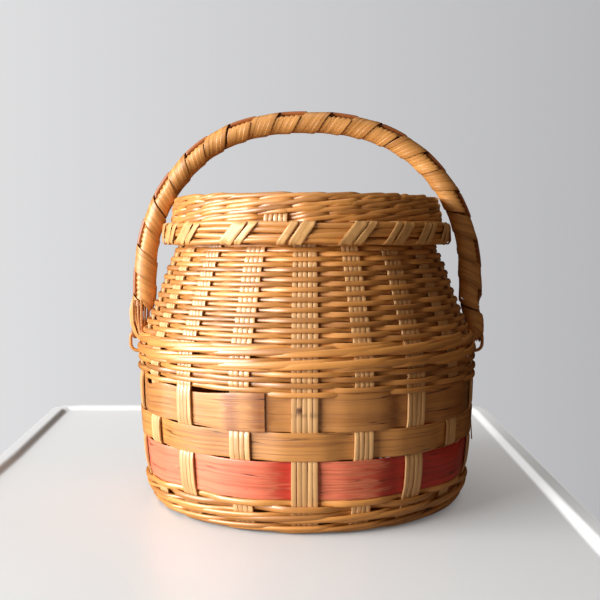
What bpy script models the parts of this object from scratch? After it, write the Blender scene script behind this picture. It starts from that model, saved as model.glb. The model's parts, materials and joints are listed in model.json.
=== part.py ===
"""Lidded woven cane basket with a swinging wrapped handle and a lift-off lid.

Metres, +Z up, origin on the table under the middle of the base.
+X is the right side of the basket, -Y its front.  Angles round the
basket are degrees from the front, growing towards the right.
"""
import math

import bmesh
import bpy
from mathutils import Vector

# Body sizes
BODY_RADIUS = 0.1424          # outer radius over the shoulder band
STAKE_COUNT = 20
STAKE_WIDTH_FOOT = 0.0130     # four reeds side by side
STAKE_WIDTH_RIM = 0.0105      # the same reeds drawn together at the neck
STAKE_THICK = 0.0024
STAKE_LIFT = 0.0005           # stake ends above the table
WEAVER_THICK = 0.0024
SPLINT_THICK = 0.0012
FIT = 0.0003                  # gap between pieces that touch
ROW_GAP = 0.0004              # gap between two rows of weaving

# Heights of the rows, from the table up
FOOT_ROW_HEIGHT = 0.0086
RED_SPLINT_HEIGHT = 0.0280
MIDDLE_SPLINT_HEIGHT = 0.0205
TOP_SPLINT_HEIGHT = 0.0260
SPLINT_TO_ROWS = 0.0015       # where the stakes step in above the splints
LOWER_ROW_HEIGHT = 0.0057
SHOULDER_ROD_HEIGHT = 0.0072
NECK_ROW_HEIGHT = 0.0062
NECK_ROW_PITCH = 0.0068
NECK_TURNS = 6
NECK_LENGTHS = 3              # each climbing weaver is spliced from this many
SPLICE_SHARE = 0.03           # gap at a splice, as a share of one bend
RIM_HEIGHT = 0.0036
RIM_THICK = 0.0030

# How far the weaving swings out and in round a stake
WEAVE_OUT = 0.0052
WEAVE_IN = 0.0036
SPLINT_OUT = 0.0025
SPLINT_IN = 0.0021
SPLINT_CLEAR = 0.0012         # flat run of a splint past the stake's edge

# Base
BASE_THICK = 0.0050
BASE_SEGMENTS = 40

# Hinge rings that hold the handle
RING_ROD_RADIUS = 0.0014
RING_INSIDE = 0.0040          # clear space between wall and ring inside
EYE_CLEAR = 0.0009            # play of the ring in the handle's eye

# Handle
HANDLE_ROD_RADIUS = 0.0027
HANDLE_ROD_SPREAD = 0.0041    # rod centres from the middle of the bundle
HAND_ROOM = 0.0532            # from the lid's crown up to the handle
LID_HANDLE_GAP = 0.0029       # from the lid's border to the arch
ARCH_SPRING = 0.0290          # where the arch starts, above the pivot
ARCH_POWER = 2.3
INNER_ROD_START = 0.0220      # above the pivot
OUTER_ROD_START = 0.0120
WRAP_START = 0.0240
WRAP_TURNS = 22
WRAP_STEPS = 10
WRAP_WIDTH = 0.0180
WRAP_THICK = 0.0012
WRAP_CLEAR = 0.0009           # the splint bridges the rods' chords
WRAP_SLANT = 1                # sense of the winding

# Lid
LID_DROP = 0.0185             # the border hangs this far below the rim's top
LID_BORDER_HEIGHT = 0.0175
LID_BORDER_DEPTH = 0.0117     # inside of the lashing to its outside
LID_SEAT_SINK = 0.0006        # the lashing sits between the weavers' bends
LASH_THICK = 0.0010
LASH_WIDTH = 0.0150
LASH_CLEAR = 0.0007
LASH_STEPS = 8
LASH_SHIFT_SHARE = -0.15      # of a stake's space, from the front
LID_WALL_STEP = 0.0008        # middle of the lid's stakes, out from its seat
LID_ROW_HEIGHT = 0.0042
LID_ROWS = 3
LID_WALL_LEAN = 0.0026        # the wall draws in by this much at the top
LID_STAKE_WIDTH = 0.0105
CROWN_RISE = 0.0028
CROWN_THICK = 0.0024
CROWN_CELL = 0.0148           # stake groups cross at this spacing in the middle
CROWN_CROSS = 5               # groups that cross each way
CROWN_ROWS = 5                # rows round the crossing
CROWN_WEAVE = 0.0009          # rise and fall of the weave
EDGE_ROW_RADIUS = 0.0025
EDGE_ROW_INSET = 0.0022       # from the line of the lid's wall

# Wall line, as shares of the body radius at named heights
FOOT_RADIUS_SHARES = (0.853, 0.895, 0.914)
SPLINT_RADIUS_SHARES = (0.940, 0.9685)
ROW_RADIUS_SHARES = (0.9495, 0.9565, 0.9424)
NECK_SHARES = ((0.31, 0.8539), (0.585, 0.7795), (0.78, 0.7219), (1.0, 0.6756))

# Each stake's shift from even spacing, as a share of one space
STAKE_SHIFT_SHARES = (
    -0.05, -0.06, -0.06, -0.06, 0.15, 0.34, 0.28, 0.21, 0.14, 0.07,
    0.0, -0.07, -0.14, -0.21, -0.28, -0.34, -0.17, -0.23, -0.29, -0.15)

# Heights worked out from the rows
FOOT_ROW_STEP = FOOT_ROW_HEIGHT + ROW_GAP
FOOT_TOP = 3 * FOOT_ROW_STEP
RED_BOTTOM = FOOT_TOP + ROW_GAP
MIDDLE_BOTTOM = RED_BOTTOM + RED_SPLINT_HEIGHT + ROW_GAP
TOP_BOTTOM = MIDDLE_BOTTOM + MIDDLE_SPLINT_HEIGHT + ROW_GAP
SPLINTS_TOP = TOP_BOTTOM + TOP_SPLINT_HEIGHT
LOWER_BOTTOM = SPLINTS_TOP + SPLINT_TO_ROWS
LOWER_STEP = LOWER_ROW_HEIGHT + ROW_GAP
LOWER_TOP = LOWER_BOTTOM + 2 * LOWER_STEP - ROW_GAP
RING_SLOT = 2 * (RING_ROD_RADIUS + FIT)
RING_LOW = LOWER_TOP + RING_SLOT / 2
SHOULDER_BOTTOM = LOWER_TOP + RING_SLOT
SHOULDER_STEP = SHOULDER_ROD_HEIGHT + ROW_GAP
SHOULDER_TOP = SHOULDER_BOTTOM + 2 * SHOULDER_STEP - ROW_GAP
PIVOT_HEIGHT = SHOULDER_TOP + RING_SLOT / 2
NECK_BOTTOM = SHOULDER_TOP + ROW_GAP
NECK_TOP = NECK_BOTTOM + (2 * NECK_TURNS + 1) * NECK_ROW_PITCH
RIM_BOTTOM = NECK_TOP + ROW_GAP
RIM_TOP = RIM_BOTTOM + RIM_HEIGHT

CANE = (0.66, 0.45, 0.23, 1.0)
PALE_CANE = (0.78, 0.60, 0.36, 1.0)
DARK_CANE = (0.50, 0.30, 0.13, 1.0)
GOLD_SPLINT = (0.66, 0.45, 0.24, 1.0)
GREY_SPLINT = (0.47, 0.34, 0.22, 1.0)
RED_DYE = (0.60, 0.16, 0.10, 1.0)


def clear_scene():
    for item in list(bpy.data.objects):
        bpy.data.objects.remove(item, do_unlink=True)


def material(name, colour, roughness):
    made = bpy.data.materials.get(name)
    if made:
        return made
    made = bpy.data.materials.new(name)
    made.use_nodes = True
    shader = made.node_tree.nodes["Principled BSDF"]
    shader.inputs["Base Color"].default_value = colour
    shader.inputs["Roughness"].default_value = roughness
    shader.inputs["Metallic"].default_value = 0.0
    made.diffuse_color = colour
    return made


def add_object(name, data, finish, parent=None):
    made = bpy.data.objects.new(name, data)
    bpy.context.collection.objects.link(made)
    data.materials.append(finish)
    if parent is not None:
        made.parent = parent
        made.matrix_parent_inverse = parent.matrix_world.inverted()
    return made


def finish_mesh(name, bm, finish, parent=None, smooth=True):
    bmesh.ops.recalc_face_normals(bm, faces=bm.faces)
    mesh = bpy.data.meshes.new(name)
    bm.to_mesh(mesh)
    bm.free()
    if smooth:
        mesh.shade_smooth()
        mesh.set_sharp_from_angle(angle=math.radians(40))
    return add_object(name, mesh, finish, parent)


def sweep(name, sections, closed, finish, parent=None):
    """Join a row of equal outlines into one closed body."""
    bm = bmesh.new()
    rings = [[bm.verts.new(point) for point in outline] for outline in sections]
    sides = len(sections[0])
    pairs = len(rings) if closed else len(rings) - 1
    for i in range(pairs):
        one = rings[i]
        two = rings[(i + 1) % len(rings)]
        for j in range(sides):
            k = (j + 1) % sides
            bm.faces.new((one[j], one[k], two[k], two[j]))
    if not closed:
        bm.faces.new(rings[0])
        bm.faces.new(list(reversed(rings[-1])))
    return finish_mesh(name, bm, finish, parent)


def turned(name, outline, closed, steps, finish, parent=None):
    """Turn an outline of (radius, height) points once round the Z axis."""
    bm = bmesh.new()
    verts = [bm.verts.new((radius, 0.0, height)) for radius, height in outline]
    edges = [bm.edges.new(pair) for pair in zip(verts, verts[1:])]
    if closed:
        edges.append(bm.edges.new((verts[-1], verts[0])))
    bmesh.ops.spin(bm, geom=verts + edges, cent=(0, 0, 0), axis=(0, 0, 1),
                   angle=math.tau, steps=steps, use_merge=True)
    bmesh.ops.remove_doubles(bm, verts=bm.verts, dist=FIT / 100)
    return finish_mesh(name, bm, finish, parent)


def rod(name, points, radius, cyclic, finish, parent=None):
    """A round rod along a line of points."""
    curve = bpy.data.curves.new(name, "CURVE")
    curve.dimensions = "3D"
    curve.bevel_depth = radius
    curve.bevel_resolution = 1
    curve.use_fill_caps = not cyclic
    spline = curve.splines.new("POLY")
    spline.points.add(len(points) - 1)
    for slot, point in zip(spline.points, points):
        slot.co = (*point, 1.0)
    spline.use_cyclic_u = cyclic
    return add_object(name, curve, finish, parent)


def around(angle, radius, height):
    turn = math.radians(angle)
    return Vector((radius * math.sin(turn), -radius * math.cos(turn), height))


def stake_angle(index):
    """Angle of a stake; the index may run past one turn either way."""
    turns, place = divmod(index, STAKE_COUNT)
    step = 360.0 / STAKE_COUNT
    return (place + STAKE_SHIFT_SHARES[place]) * step + 360.0 * turns


def wall_line():
    """Middle line of the wall as (height, radius), foot to rim."""
    line = [(share_z, share_r * BODY_RADIUS) for share_z, share_r in (
        (0.0, FOOT_RADIUS_SHARES[0]),
        (FOOT_ROW_STEP, FOOT_RADIUS_SHARES[1]),
        (2 * FOOT_ROW_STEP, FOOT_RADIUS_SHARES[2]),
        (RED_BOTTOM, SPLINT_RADIUS_SHARES[0]),
        (SPLINTS_TOP, SPLINT_RADIUS_SHARES[1]),
        (LOWER_BOTTOM, ROW_RADIUS_SHARES[0]),
        (SHOULDER_BOTTOM + SHOULDER_STEP, ROW_RADIUS_SHARES[1]),
        (SHOULDER_TOP, ROW_RADIUS_SHARES[2]))]
    for share_z, share_r in NECK_SHARES:
        height = SHOULDER_TOP + share_z * (RIM_TOP - SHOULDER_TOP)
        line.append((height, share_r * BODY_RADIUS))
    return line


WALL_LINE = wall_line()


def wall_radius(height):
    for (z0, r0), (z1, r1) in zip(WALL_LINE, WALL_LINE[1:]):
        if height <= z1:
            return r0 + (r1 - r0) * (height - z0) / (z1 - z0)
    return WALL_LINE[-1][1]


def stake_half_width(height):
    share = height / RIM_TOP
    return (STAKE_WIDTH_FOOT + (STAKE_WIDTH_RIM - STAKE_WIDTH_FOOT) * share) / 2


def band_outline(angle, bottom, top, offset, thick):
    """Cross-section of a band that lies on the wall line."""
    low = wall_radius(bottom) + offset
    high = wall_radius(top) + offset
    half = thick / 2
    return [around(angle, low - half, bottom), around(angle, low + half, bottom),
            around(angle, high + half, top), around(angle, high - half, top)]


def make_stake(index, finish):
    angle = stake_angle(index)
    side = Vector((math.cos(math.radians(angle)), math.sin(math.radians(angle)), 0))
    half = STAKE_THICK / 2
    sections = []
    for number, (height, radius) in enumerate(WALL_LINE):
        height = max(height, STAKE_LIFT)
        wide = side * stake_half_width(height)
        inner = around(angle, radius - half, height)
        outer = around(angle, radius + half, height)
        sections.append([inner - wide, outer - wide, outer + wide, inner + wide])
    return sweep(f"stake_{index + 1:02d}", sections, False, finish)


def woven_hoop(name, bottom, height, phase, finish):
    """One row of weaving, in front of every second stake."""
    sections = []
    for k in range(STAKE_COUNT):
        here = stake_angle(k)
        middle = (here + stake_angle(k + 1)) / 2
        offset = WEAVE_OUT if (k + phase) % 2 == 0 else -WEAVE_IN
        for angle, shift in ((here, offset), (middle, 0.0)):
            sections.append(band_outline(angle, bottom, bottom + height, shift, WEAVER_THICK))
    return sweep(name, sections, True, finish)


def splint_hoop(name, bottom, height, phase, finish):
    """A wide flat splint, in front of every second stake."""
    sections = []
    for k in range(STAKE_COUNT):
        here = stake_angle(k)
        middle = (here + stake_angle(k + 1)) / 2
        run = stake_half_width(bottom) + SPLINT_CLEAR
        reach = math.degrees(run / wall_radius(bottom))
        offset = SPLINT_OUT if (k + phase) % 2 == 0 else -SPLINT_IN
        for angle, shift in ((here - reach, offset), (here + reach, offset), (middle, 0.0)):
            sections.append(band_outline(angle, bottom, bottom + height, shift, SPLINT_THICK))
    return sweep(name, sections, True, finish)


def neck_weaver(name, first, phase, finish):
    """A weaver that climbs the neck, chased by its pair half a turn behind.

    It is spliced from several lengths, whose ends meet behind a stake.
    """
    start = stake_angle(first)
    bends = NECK_TURNS * STAKE_COUNT // NECK_LENGTHS
    for number in range(NECK_LENGTHS):
        sections = []
        begin = first + number * bends
        for k in range(begin, begin + bends + 1):
            here = stake_angle(k)
            middle = (here + stake_angle(k + 1)) / 2
            offset = WEAVE_OUT if (k + phase) % 2 == 0 else -WEAVE_IN
            for angle, shift in ((here, offset), (middle, 0.0)):
                bottom = NECK_BOTTOM + 2 * NECK_ROW_PITCH * (angle - start) / 360.0
                sections.append(band_outline(angle, bottom, bottom + NECK_ROW_HEIGHT, shift,
                                             WEAVER_THICK))
        sections.pop()
        sections[0] = [near.lerp(far, SPLICE_SHARE) for near, far in zip(*sections[:2])]
        sweep(f"{name}_{number + 1}", sections, False, finish)


def rectangle(inner, outer, bottom, top):
    return [(inner, bottom), (outer, bottom), (outer, top), (inner, top)]


def make_base(finish):
    """Flat mat inside the lowest row of the foot."""
    radius = FOOT_RADIUS_SHARES[0] * BODY_RADIUS - WEAVE_IN - WEAVER_THICK / 2 - FIT
    outline = [(0.0, 0.0), (radius, 0.0), (radius, BASE_THICK), (0.0, BASE_THICK)]
    return turned("base_mat", outline, False, BASE_SEGMENTS, finish)


def make_rim(finish):
    """Two hoops that hold the stake ends between them."""
    radius = wall_radius(RIM_BOTTOM)
    near = STAKE_THICK / 2 + FIT
    lean = wall_radius(RIM_BOTTOM) - wall_radius(RIM_TOP)
    bulge = radius / math.cos(math.pi / BASE_SEGMENTS) - radius
    bulge += stake_half_width(RIM_TOP) ** 2 / (2 * radius)
    outer = rectangle(radius + near + bulge, radius + near + bulge + RIM_THICK,
                      RIM_BOTTOM, RIM_TOP)
    inner_edge = radius - lean - near
    inner = rectangle(inner_edge - RIM_THICK, inner_edge, RIM_BOTTOM, RIM_TOP)
    turned("rim_hoop_outer", outer, True, BASE_SEGMENTS, finish)
    turned("rim_hoop_inner", inner, True, BASE_SEGMENTS, finish)


# Where the handle's feet stand
WALL_OUTSIDE = wall_radius(SHOULDER_TOP - SHOULDER_STEP) + WEAVE_OUT + WEAVER_THICK / 2
FOOT_X = WALL_OUTSIDE + FIT + HANDLE_ROD_RADIUS
EYE_RADIUS = RING_ROD_RADIUS + EYE_CLEAR + HANDLE_ROD_RADIUS


def make_hinge_ring(side, finish):
    """Oval cane ring through the wall, above and below the shoulder rods."""
    outside = FOOT_X + HANDLE_ROD_RADIUS + FIT + RING_ROD_RADIUS
    inside = wall_radius(SHOULDER_BOTTOM) - WEAVE_IN - WEAVER_THICK / 2 - RING_INSIDE
    corner = outside - FOOT_X - HANDLE_ROD_RADIUS
    round_in = 2 * corner
    loop = ((inside + round_in, PIVOT_HEIGHT), (outside - corner, PIVOT_HEIGHT),
            (outside, PIVOT_HEIGHT - corner), (outside, RING_LOW + corner),
            (outside - corner, RING_LOW), (inside + round_in, RING_LOW),
            (inside, RING_LOW + round_in), (inside, PIVOT_HEIGHT - round_in))
    points = [Vector((side * x, 0.0, z)) for x, z in loop]
    name = "hinge_ring_right" if side > 0 else "hinge_ring_left"
    return rod(name, points, RING_ROD_RADIUS, True, finish)


def arch_point(share):
    """Middle of the handle bundle; share 0 is the left foot, 1 the right."""
    spring = ARCH_START
    rise = HANDLE_TOP - spring
    leg = ARCH_SPRING
    bow = math.pi * rise
    total = 2 * leg + bow
    along = share * total
    if along < leg or along > leg + bow:
        near = along if along < leg else total - along
        part = near / leg
        ease = part * part * (3 - 2 * part)
        x = FOOT_X + (ARCH_HALF_WIDTH - FOOT_X) * ease
        sign = -1 if along < leg else 1
        return Vector((sign * x, 0.0, PIVOT_HEIGHT + near))
    angle = math.pi * (along - leg) / bow
    power = 2 / ARCH_POWER
    x = -math.copysign(abs(math.cos(angle)) ** power, math.cos(angle))
    z = math.sin(angle) ** power
    return Vector((x * ARCH_HALF_WIDTH, 0.0, spring + z * rise))


def arch_table(count):
    """Points evenly spaced along the arch, foot to foot."""
    fine = [arch_point(i / (count * 20)) for i in range(count * 20 + 1)]
    lengths = [0.0]
    for one, two in zip(fine, fine[1:]):
        lengths.append(lengths[-1] + (two - one).length)
    even = []
    place = 0
    for i in range(count + 1):
        goal = lengths[-1] * i / count
        while place < len(fine) - 2 and lengths[place + 1] < goal:
            place += 1
        part = (goal - lengths[place]) / (lengths[place + 1] - lengths[place])
        even.append(fine[place].lerp(fine[place + 1], part))
    return even


def arch_frames(count):
    """(point, direction, outward) along the arch."""
    even = arch_table(count)
    frames = []
    for i, point in enumerate(even):
        ahead = even[min(i + 1, count)] - even[max(i - 1, 0)]
        ahead.normalize()
        outward = Vector((-ahead.z, 0.0, ahead.x))
        frames.append((point, ahead, outward))
    return frames


ARCH_STEPS = 28


def foot_spread(point):
    """The two long strands part round the ring at the feet."""
    above = min((point.z - PIVOT_HEIGHT) / OUTER_ROD_START, 1.0)
    return EYE_RADIUS + (HANDLE_ROD_SPREAD - EYE_RADIUS) * above


def make_handle_loop(finish, parent):
    """One long rod bent double, with an eye at each foot."""
    frames = arch_frames(ARCH_STEPS)
    front = [point - Vector((0, foot_spread(point), 0)) for point, _, _ in frames]
    back = [point + Vector((0, foot_spread(point), 0)) for point, _, _ in frames]
    eye = []
    for angle in (45, 90, 135):
        turn = math.radians(angle)
        eye.append((EYE_RADIUS * math.cos(turn), -EYE_RADIUS * math.sin(turn)))
    right = [Vector((FOOT_X, -y, PIVOT_HEIGHT + z)) for y, z in eye]
    left = [Vector((-FOOT_X, y, PIVOT_HEIGHT + z)) for y, z in eye]
    points = front + right + list(reversed(back)) + left
    return rod("handle_loop_rod", points, HANDLE_ROD_RADIUS, True, finish, parent)


def make_handle_core(name, sign, start, finish, parent):
    """A rod on the inner or outer side of the bundle."""
    points = []
    for point, _, outward in arch_frames(ARCH_STEPS):
        if point.z >= PIVOT_HEIGHT + start:
            points.append(point + outward * sign * HANDLE_ROD_SPREAD)
    return rod(name, points, HANDLE_ROD_RADIUS, False, finish, parent)


def make_wrap(finish, parent):
    """One flat splint wound round the bundle in open turns."""
    count = WRAP_TURNS * WRAP_STEPS
    frames = [f for f in arch_frames(4 * count) if f[0].z >= PIVOT_HEIGHT + WRAP_START]
    near = BUNDLE_INSIDE
    far = BUNDLE_RADIUS
    sections = []
    for i in range(count + 1):
        point, ahead, outward = frames[round(i * (len(frames) - 1) / count)]
        turn = WRAP_SLANT * math.tau * i / WRAP_STEPS
        out = outward * math.cos(turn) + Vector((0, 1, 0)) * math.sin(turn)
        half = ahead * WRAP_WIDTH / 2
        if i == 0 or i == count:
            half = half / 4
        sections.append([point + out * near - half, point + out * far - half,
                         point + out * far + half, point + out * near + half])
    gap = winding_gap(sections, WRAP_STEPS)
    print(f"handle wrap: {WRAP_TURNS} turns, least gap to itself {gap * 1000:.2f} mm")
    return sweep("handle_wrap", sections, False, finish, parent)


def winding_gap(sections, steps):
    """Least distance between the facing edges of neighbouring turns."""
    least = None
    for i in range(len(sections) - steps):
        for corner in (2, 3):
            for j in range(i + steps - 1, min(i + steps + 2, len(sections))):
                for other in (0, 1):
                    gap = (sections[i][corner] - sections[j][other]).length
                    least = gap if least is None else min(least, gap)
    return least


# Where the lid sits on the neck
LID_SKIRT_BOTTOM = RIM_TOP - LID_DROP
LID_INNER = wall_radius(LID_SKIRT_BOTTOM) + WEAVE_OUT + WEAVER_THICK / 2 - LID_SEAT_SINK
LID_OUTER = LID_INNER + LID_BORDER_DEPTH
LID_SKIRT_TOP = LID_SKIRT_BOTTOM + LID_BORDER_HEIGHT
LID_ROWS_BOTTOM = LID_SKIRT_TOP + FIT
LID_ROW_STEP = LID_ROW_HEIGHT + ROW_GAP
LID_ROWS_TOP = LID_ROWS_BOTTOM + LID_ROWS * LID_ROW_STEP
LID_WALL_RADIUS = LID_INNER + LID_WALL_STEP
CROWN_BOTTOM = LID_ROWS_TOP + STAKE_THICK + FIT
CROWN_TOP = CROWN_BOTTOM + CROWN_THICK + CROWN_RISE
CROWN_RADIUS = LID_WALL_RADIUS - LID_WALL_LEAN - 3 * STAKE_THICK

# The arch clears the lid's border and leaves room for a hand over its crown
BUNDLE_INSIDE = HANDLE_ROD_SPREAD + HANDLE_ROD_RADIUS + WRAP_CLEAR
BUNDLE_INSIDE /= math.cos(math.pi / WRAP_STEPS)
BUNDLE_RADIUS = BUNDLE_INSIDE + WRAP_THICK
HANDLE_TOP = CROWN_TOP + HAND_ROOM + BUNDLE_RADIUS
ARCH_START = PIVOT_HEIGHT + ARCH_SPRING
ARCH_DRAW_IN = (1 - ((LID_SKIRT_TOP - ARCH_START) / (HANDLE_TOP - ARCH_START))
                ** ARCH_POWER) ** (1 / ARCH_POWER)
ARCH_HALF_WIDTH = (LID_OUTER + LID_HANDLE_GAP + BUNDLE_RADIUS) / ARCH_DRAW_IN


def make_border_rods(finish, parent):
    """The two rods of the lid's border, one above the other."""
    inner = LID_INNER + LASH_THICK + LASH_CLEAR
    outer = LID_OUTER - LASH_THICK - LASH_CLEAR
    bottom = LID_SKIRT_BOTTOM + LASH_THICK + LASH_CLEAR
    top = LID_SKIRT_TOP - LASH_THICK - LASH_CLEAR
    height = (top - bottom - FIT) / 2
    bevel = (outer - inner) / 4
    for name, low in (("lid_border_rod_lower", bottom), ("lid_border_rod_upper", top - height)):
        outline = [(inner, low + height / 2), (inner + bevel, low), (outer - bevel, low),
                   (outer, low + height / 2), (outer - bevel, low + height),
                   (inner + bevel, low + height)]
        turned(name, outline, True, 2 * STAKE_COUNT, finish, parent)


def make_lashing(finish, parent):
    """Flat splint lashed round the border, one turn at every stake."""
    half = LASH_THICK / 2
    inner = LID_INNER + half
    outer = LID_OUTER - half
    bottom = LID_SKIRT_BOTTOM + half
    top = LID_SKIRT_TOP - half
    corner = (outer - inner) / 5
    path = ((outer, bottom + corner, 1, 0), (outer, top - corner, 1, 0),
            (outer - corner, top, 0, 1), (inner + corner, top, 0, 1),
            (inner, top - corner, -1, 0), (inner, bottom + corner, -1, 0),
            (inner + corner, bottom, 0, -1), (outer - corner, bottom, 0, -1))
    sections = []
    for i in range(STAKE_COUNT * LASH_STEPS):
        radius, height, out_r, out_z = path[i % LASH_STEPS]
        angle = 360.0 * (i / LASH_STEPS + LASH_SHIFT_SHARE) / STAKE_COUNT
        middle = around(angle, radius, height)
        out = around(angle, out_r, out_z)
        turn = math.radians(angle)
        side = Vector((math.cos(turn), math.sin(turn), 0)) * LASH_WIDTH / 2
        sections.append([middle - out * half - side, middle + out * half - side,
                         middle + out * half + side, middle - out * half + side])
    gap = winding_gap(sections, LASH_STEPS)
    print(f"lid lashing: {STAKE_COUNT} turns, least gap to itself {gap * 1000:.2f} mm")
    return sweep("lid_lashing", sections, True, finish, parent)


def lid_wall_radius(height):
    share = (height - LID_ROWS_BOTTOM) / (LID_ROWS_TOP - LID_ROWS_BOTTOM)
    return LID_WALL_RADIUS - LID_WALL_LEAN * share


def make_lid_frame(finish, parent):
    """Crown plate with a stake running down from its edge at every space."""
    bm = bmesh.new()
    half = STAKE_THICK / 2
    plate = LID_ROWS_TOP + half
    wide = LID_STAKE_WIDTH / 2
    bend = LID_ROWS_TOP - STAKE_THICK
    stops = ((lid_wall_radius(LID_ROWS_TOP), plate, half, half),
             (lid_wall_radius(bend), bend, half, 0.0),
             (lid_wall_radius(LID_ROWS_BOTTOM), LID_ROWS_BOTTOM, half, 0.0))
    top_ring = []
    low_ring = []
    for k in range(STAKE_COUNT):
        angle = stake_angle(k)
        side = Vector((math.cos(math.radians(angle)), math.sin(math.radians(angle)), 0)) * wide
        middle = around(angle, CROWN_RADIUS, plate)
        lift = Vector((0, 0, half))
        ring = [bm.verts.new(p) for p in (middle - side + lift, middle + side + lift,
                                          middle + side - lift, middle - side - lift)]
        top_ring += [ring[0], ring[1]]
        low_ring += [ring[3], ring[2]]
        for radius, height, thick_r, thick_z in stops:
            outer = around(angle, radius + thick_r, height + thick_z)
            inner = around(angle, radius - thick_r, height - thick_z)
            new = [bm.verts.new(p) for p in (outer - side, outer + side,
                                             inner + side, inner - side)]
            for j in range(4):
                n = (j + 1) % 4
                bm.faces.new((ring[j], ring[n], new[n], new[j]))
            ring = new
        bm.faces.new(ring)
    bm.faces.new(top_ring)
    bm.faces.new(list(reversed(low_ring)))
    for k in range(STAKE_COUNT):
        one = 2 * k + 1
        two = (2 * k + 2) % (2 * STAKE_COUNT)
        bm.faces.new((top_ring[one], low_ring[one], low_ring[two], top_ring[two]))
    return finish_mesh("lid_frame", bm, finish, parent)


def lid_row(index, finish, parent):
    """One row of the lid's wall, in front of every second stake."""
    bottom = LID_ROWS_BOTTOM + index * LID_ROW_STEP
    top = bottom + LID_ROW_HEIGHT
    half = WEAVER_THICK / 2
    sections = []
    for k in range(STAKE_COUNT):
        here = stake_angle(k)
        middle = (here + stake_angle(k + 1)) / 2
        offset = WEAVE_OUT if (k + index) % 2 == 0 else -WEAVE_IN
        for angle, shift in ((here, offset), (middle, 0.0)):
            low = lid_wall_radius(bottom) + shift
            high = lid_wall_radius(top) + shift
            sections.append([around(angle, low - half, bottom), around(angle, low + half, bottom),
                             around(angle, high + half, top), around(angle, high - half, top)])
    return sweep(f"lid_row_{index + 1}", sections, True, finish, parent)


def crown_point(spot, reach, weave):
    """A point on the dome over a spot of (x, y); weave is 1 over, -1 under."""
    x, y = spot
    rise = (CROWN_RISE - CROWN_WEAVE) * (1 - (x * x + y * y) / reach ** 2)
    return Vector((x, y, CROWN_BOTTOM + CROWN_THICK + rise + CROWN_WEAVE * weave))


def weave_crown(name, reach, finish, parent):
    """Domed mat: groups of stakes cross in the middle, fan out, and rows run over them."""
    bm = bmesh.new()
    last = 2 * CROWN_CROSS
    grid = {}
    for i in range(last + 1):
        for j in range(last + 1):
            spot = ((i / 2 - CROWN_CROSS / 2) * CROWN_CELL, (j / 2 - CROWN_CROSS / 2) * CROWN_CELL)
            weave = 0 if i % 2 == 0 or j % 2 == 0 else (-1) ** ((i + j) // 2 + 1)
            grid[i, j] = bm.verts.new(crown_point(spot, reach, weave))
    for i in range(last):
        for j in range(last):
            bm.faces.new((grid[i, j], grid[i + 1, j], grid[i + 1, j + 1], grid[i, j + 1]))
    walk = [(i, 0) for i in range(last)] + [(last, j) for j in range(last)]
    walk += [(last - i, last) for i in range(last)] + [(0, last - j) for j in range(last)]
    ring = [grid[place] for place in walk]
    first = -CROWN_CROSS / 2
    start = CROWN_CELL * CROWN_CROSS / math.sqrt(2)
    radii = [start + (reach - start) * row / CROWN_ROWS for row in range(CROWN_ROWS + 1)]
    for row, radius in enumerate(radii):
        new = []
        for step in range(2 * STAKE_COUNT):
            place = first + step / 2
            stake = math.floor(place + 0.5)
            on_stake = step % 2 == 1
            angle = stake_angle(stake)
            if not on_stake:
                angle = (stake_angle(math.floor(place)) + stake_angle(math.floor(place) + 1)) / 2
            weave = (-1) ** (stake + row) if on_stake and row < CROWN_ROWS else 0
            spot = around(angle, radius, 0.0)
            new.append(bm.verts.new(crown_point((spot.x, spot.y), reach, weave)))
        for k in range(len(ring)):
            n = (k + 1) % len(ring)
            bm.faces.new((ring[k], new[k], new[n], ring[n]))
        ring = new
    low = [bm.verts.new((vert.co.x, vert.co.y, CROWN_BOTTOM)) for vert in ring]
    for k in range(len(ring)):
        n = (k + 1) % len(ring)
        bm.faces.new((ring[k], low[k], low[n], ring[n]))
    bm.faces.new(low)
    return finish_mesh(name, bm, finish, parent)


def make_crown(finish, parent):
    """Woven top of the lid and the thick row round its edge."""
    bottom = CROWN_BOTTOM
    edge = LID_WALL_RADIUS - LID_WALL_LEAN - EDGE_ROW_INSET
    reach = edge - EDGE_ROW_RADIUS - FIT
    weave_crown("lid_crown", reach, finish, parent)
    middle = bottom + EDGE_ROW_RADIUS
    ring = []
    for i in range(6):
        turn = math.tau * (i + 0.5) / 6
        ring.append((edge + EDGE_ROW_RADIUS * math.cos(turn),
                     middle + EDGE_ROW_RADIUS * math.sin(turn)))
    turned("lid_edge_row", ring, True, 2 * STAKE_COUNT, finish, parent)


def make_empty(name, place):
    made = bpy.data.objects.new(name, None)
    bpy.context.collection.objects.link(made)
    made.location = place
    made.empty_display_size = EYE_RADIUS
    bpy.context.view_layer.update()
    return made


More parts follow.
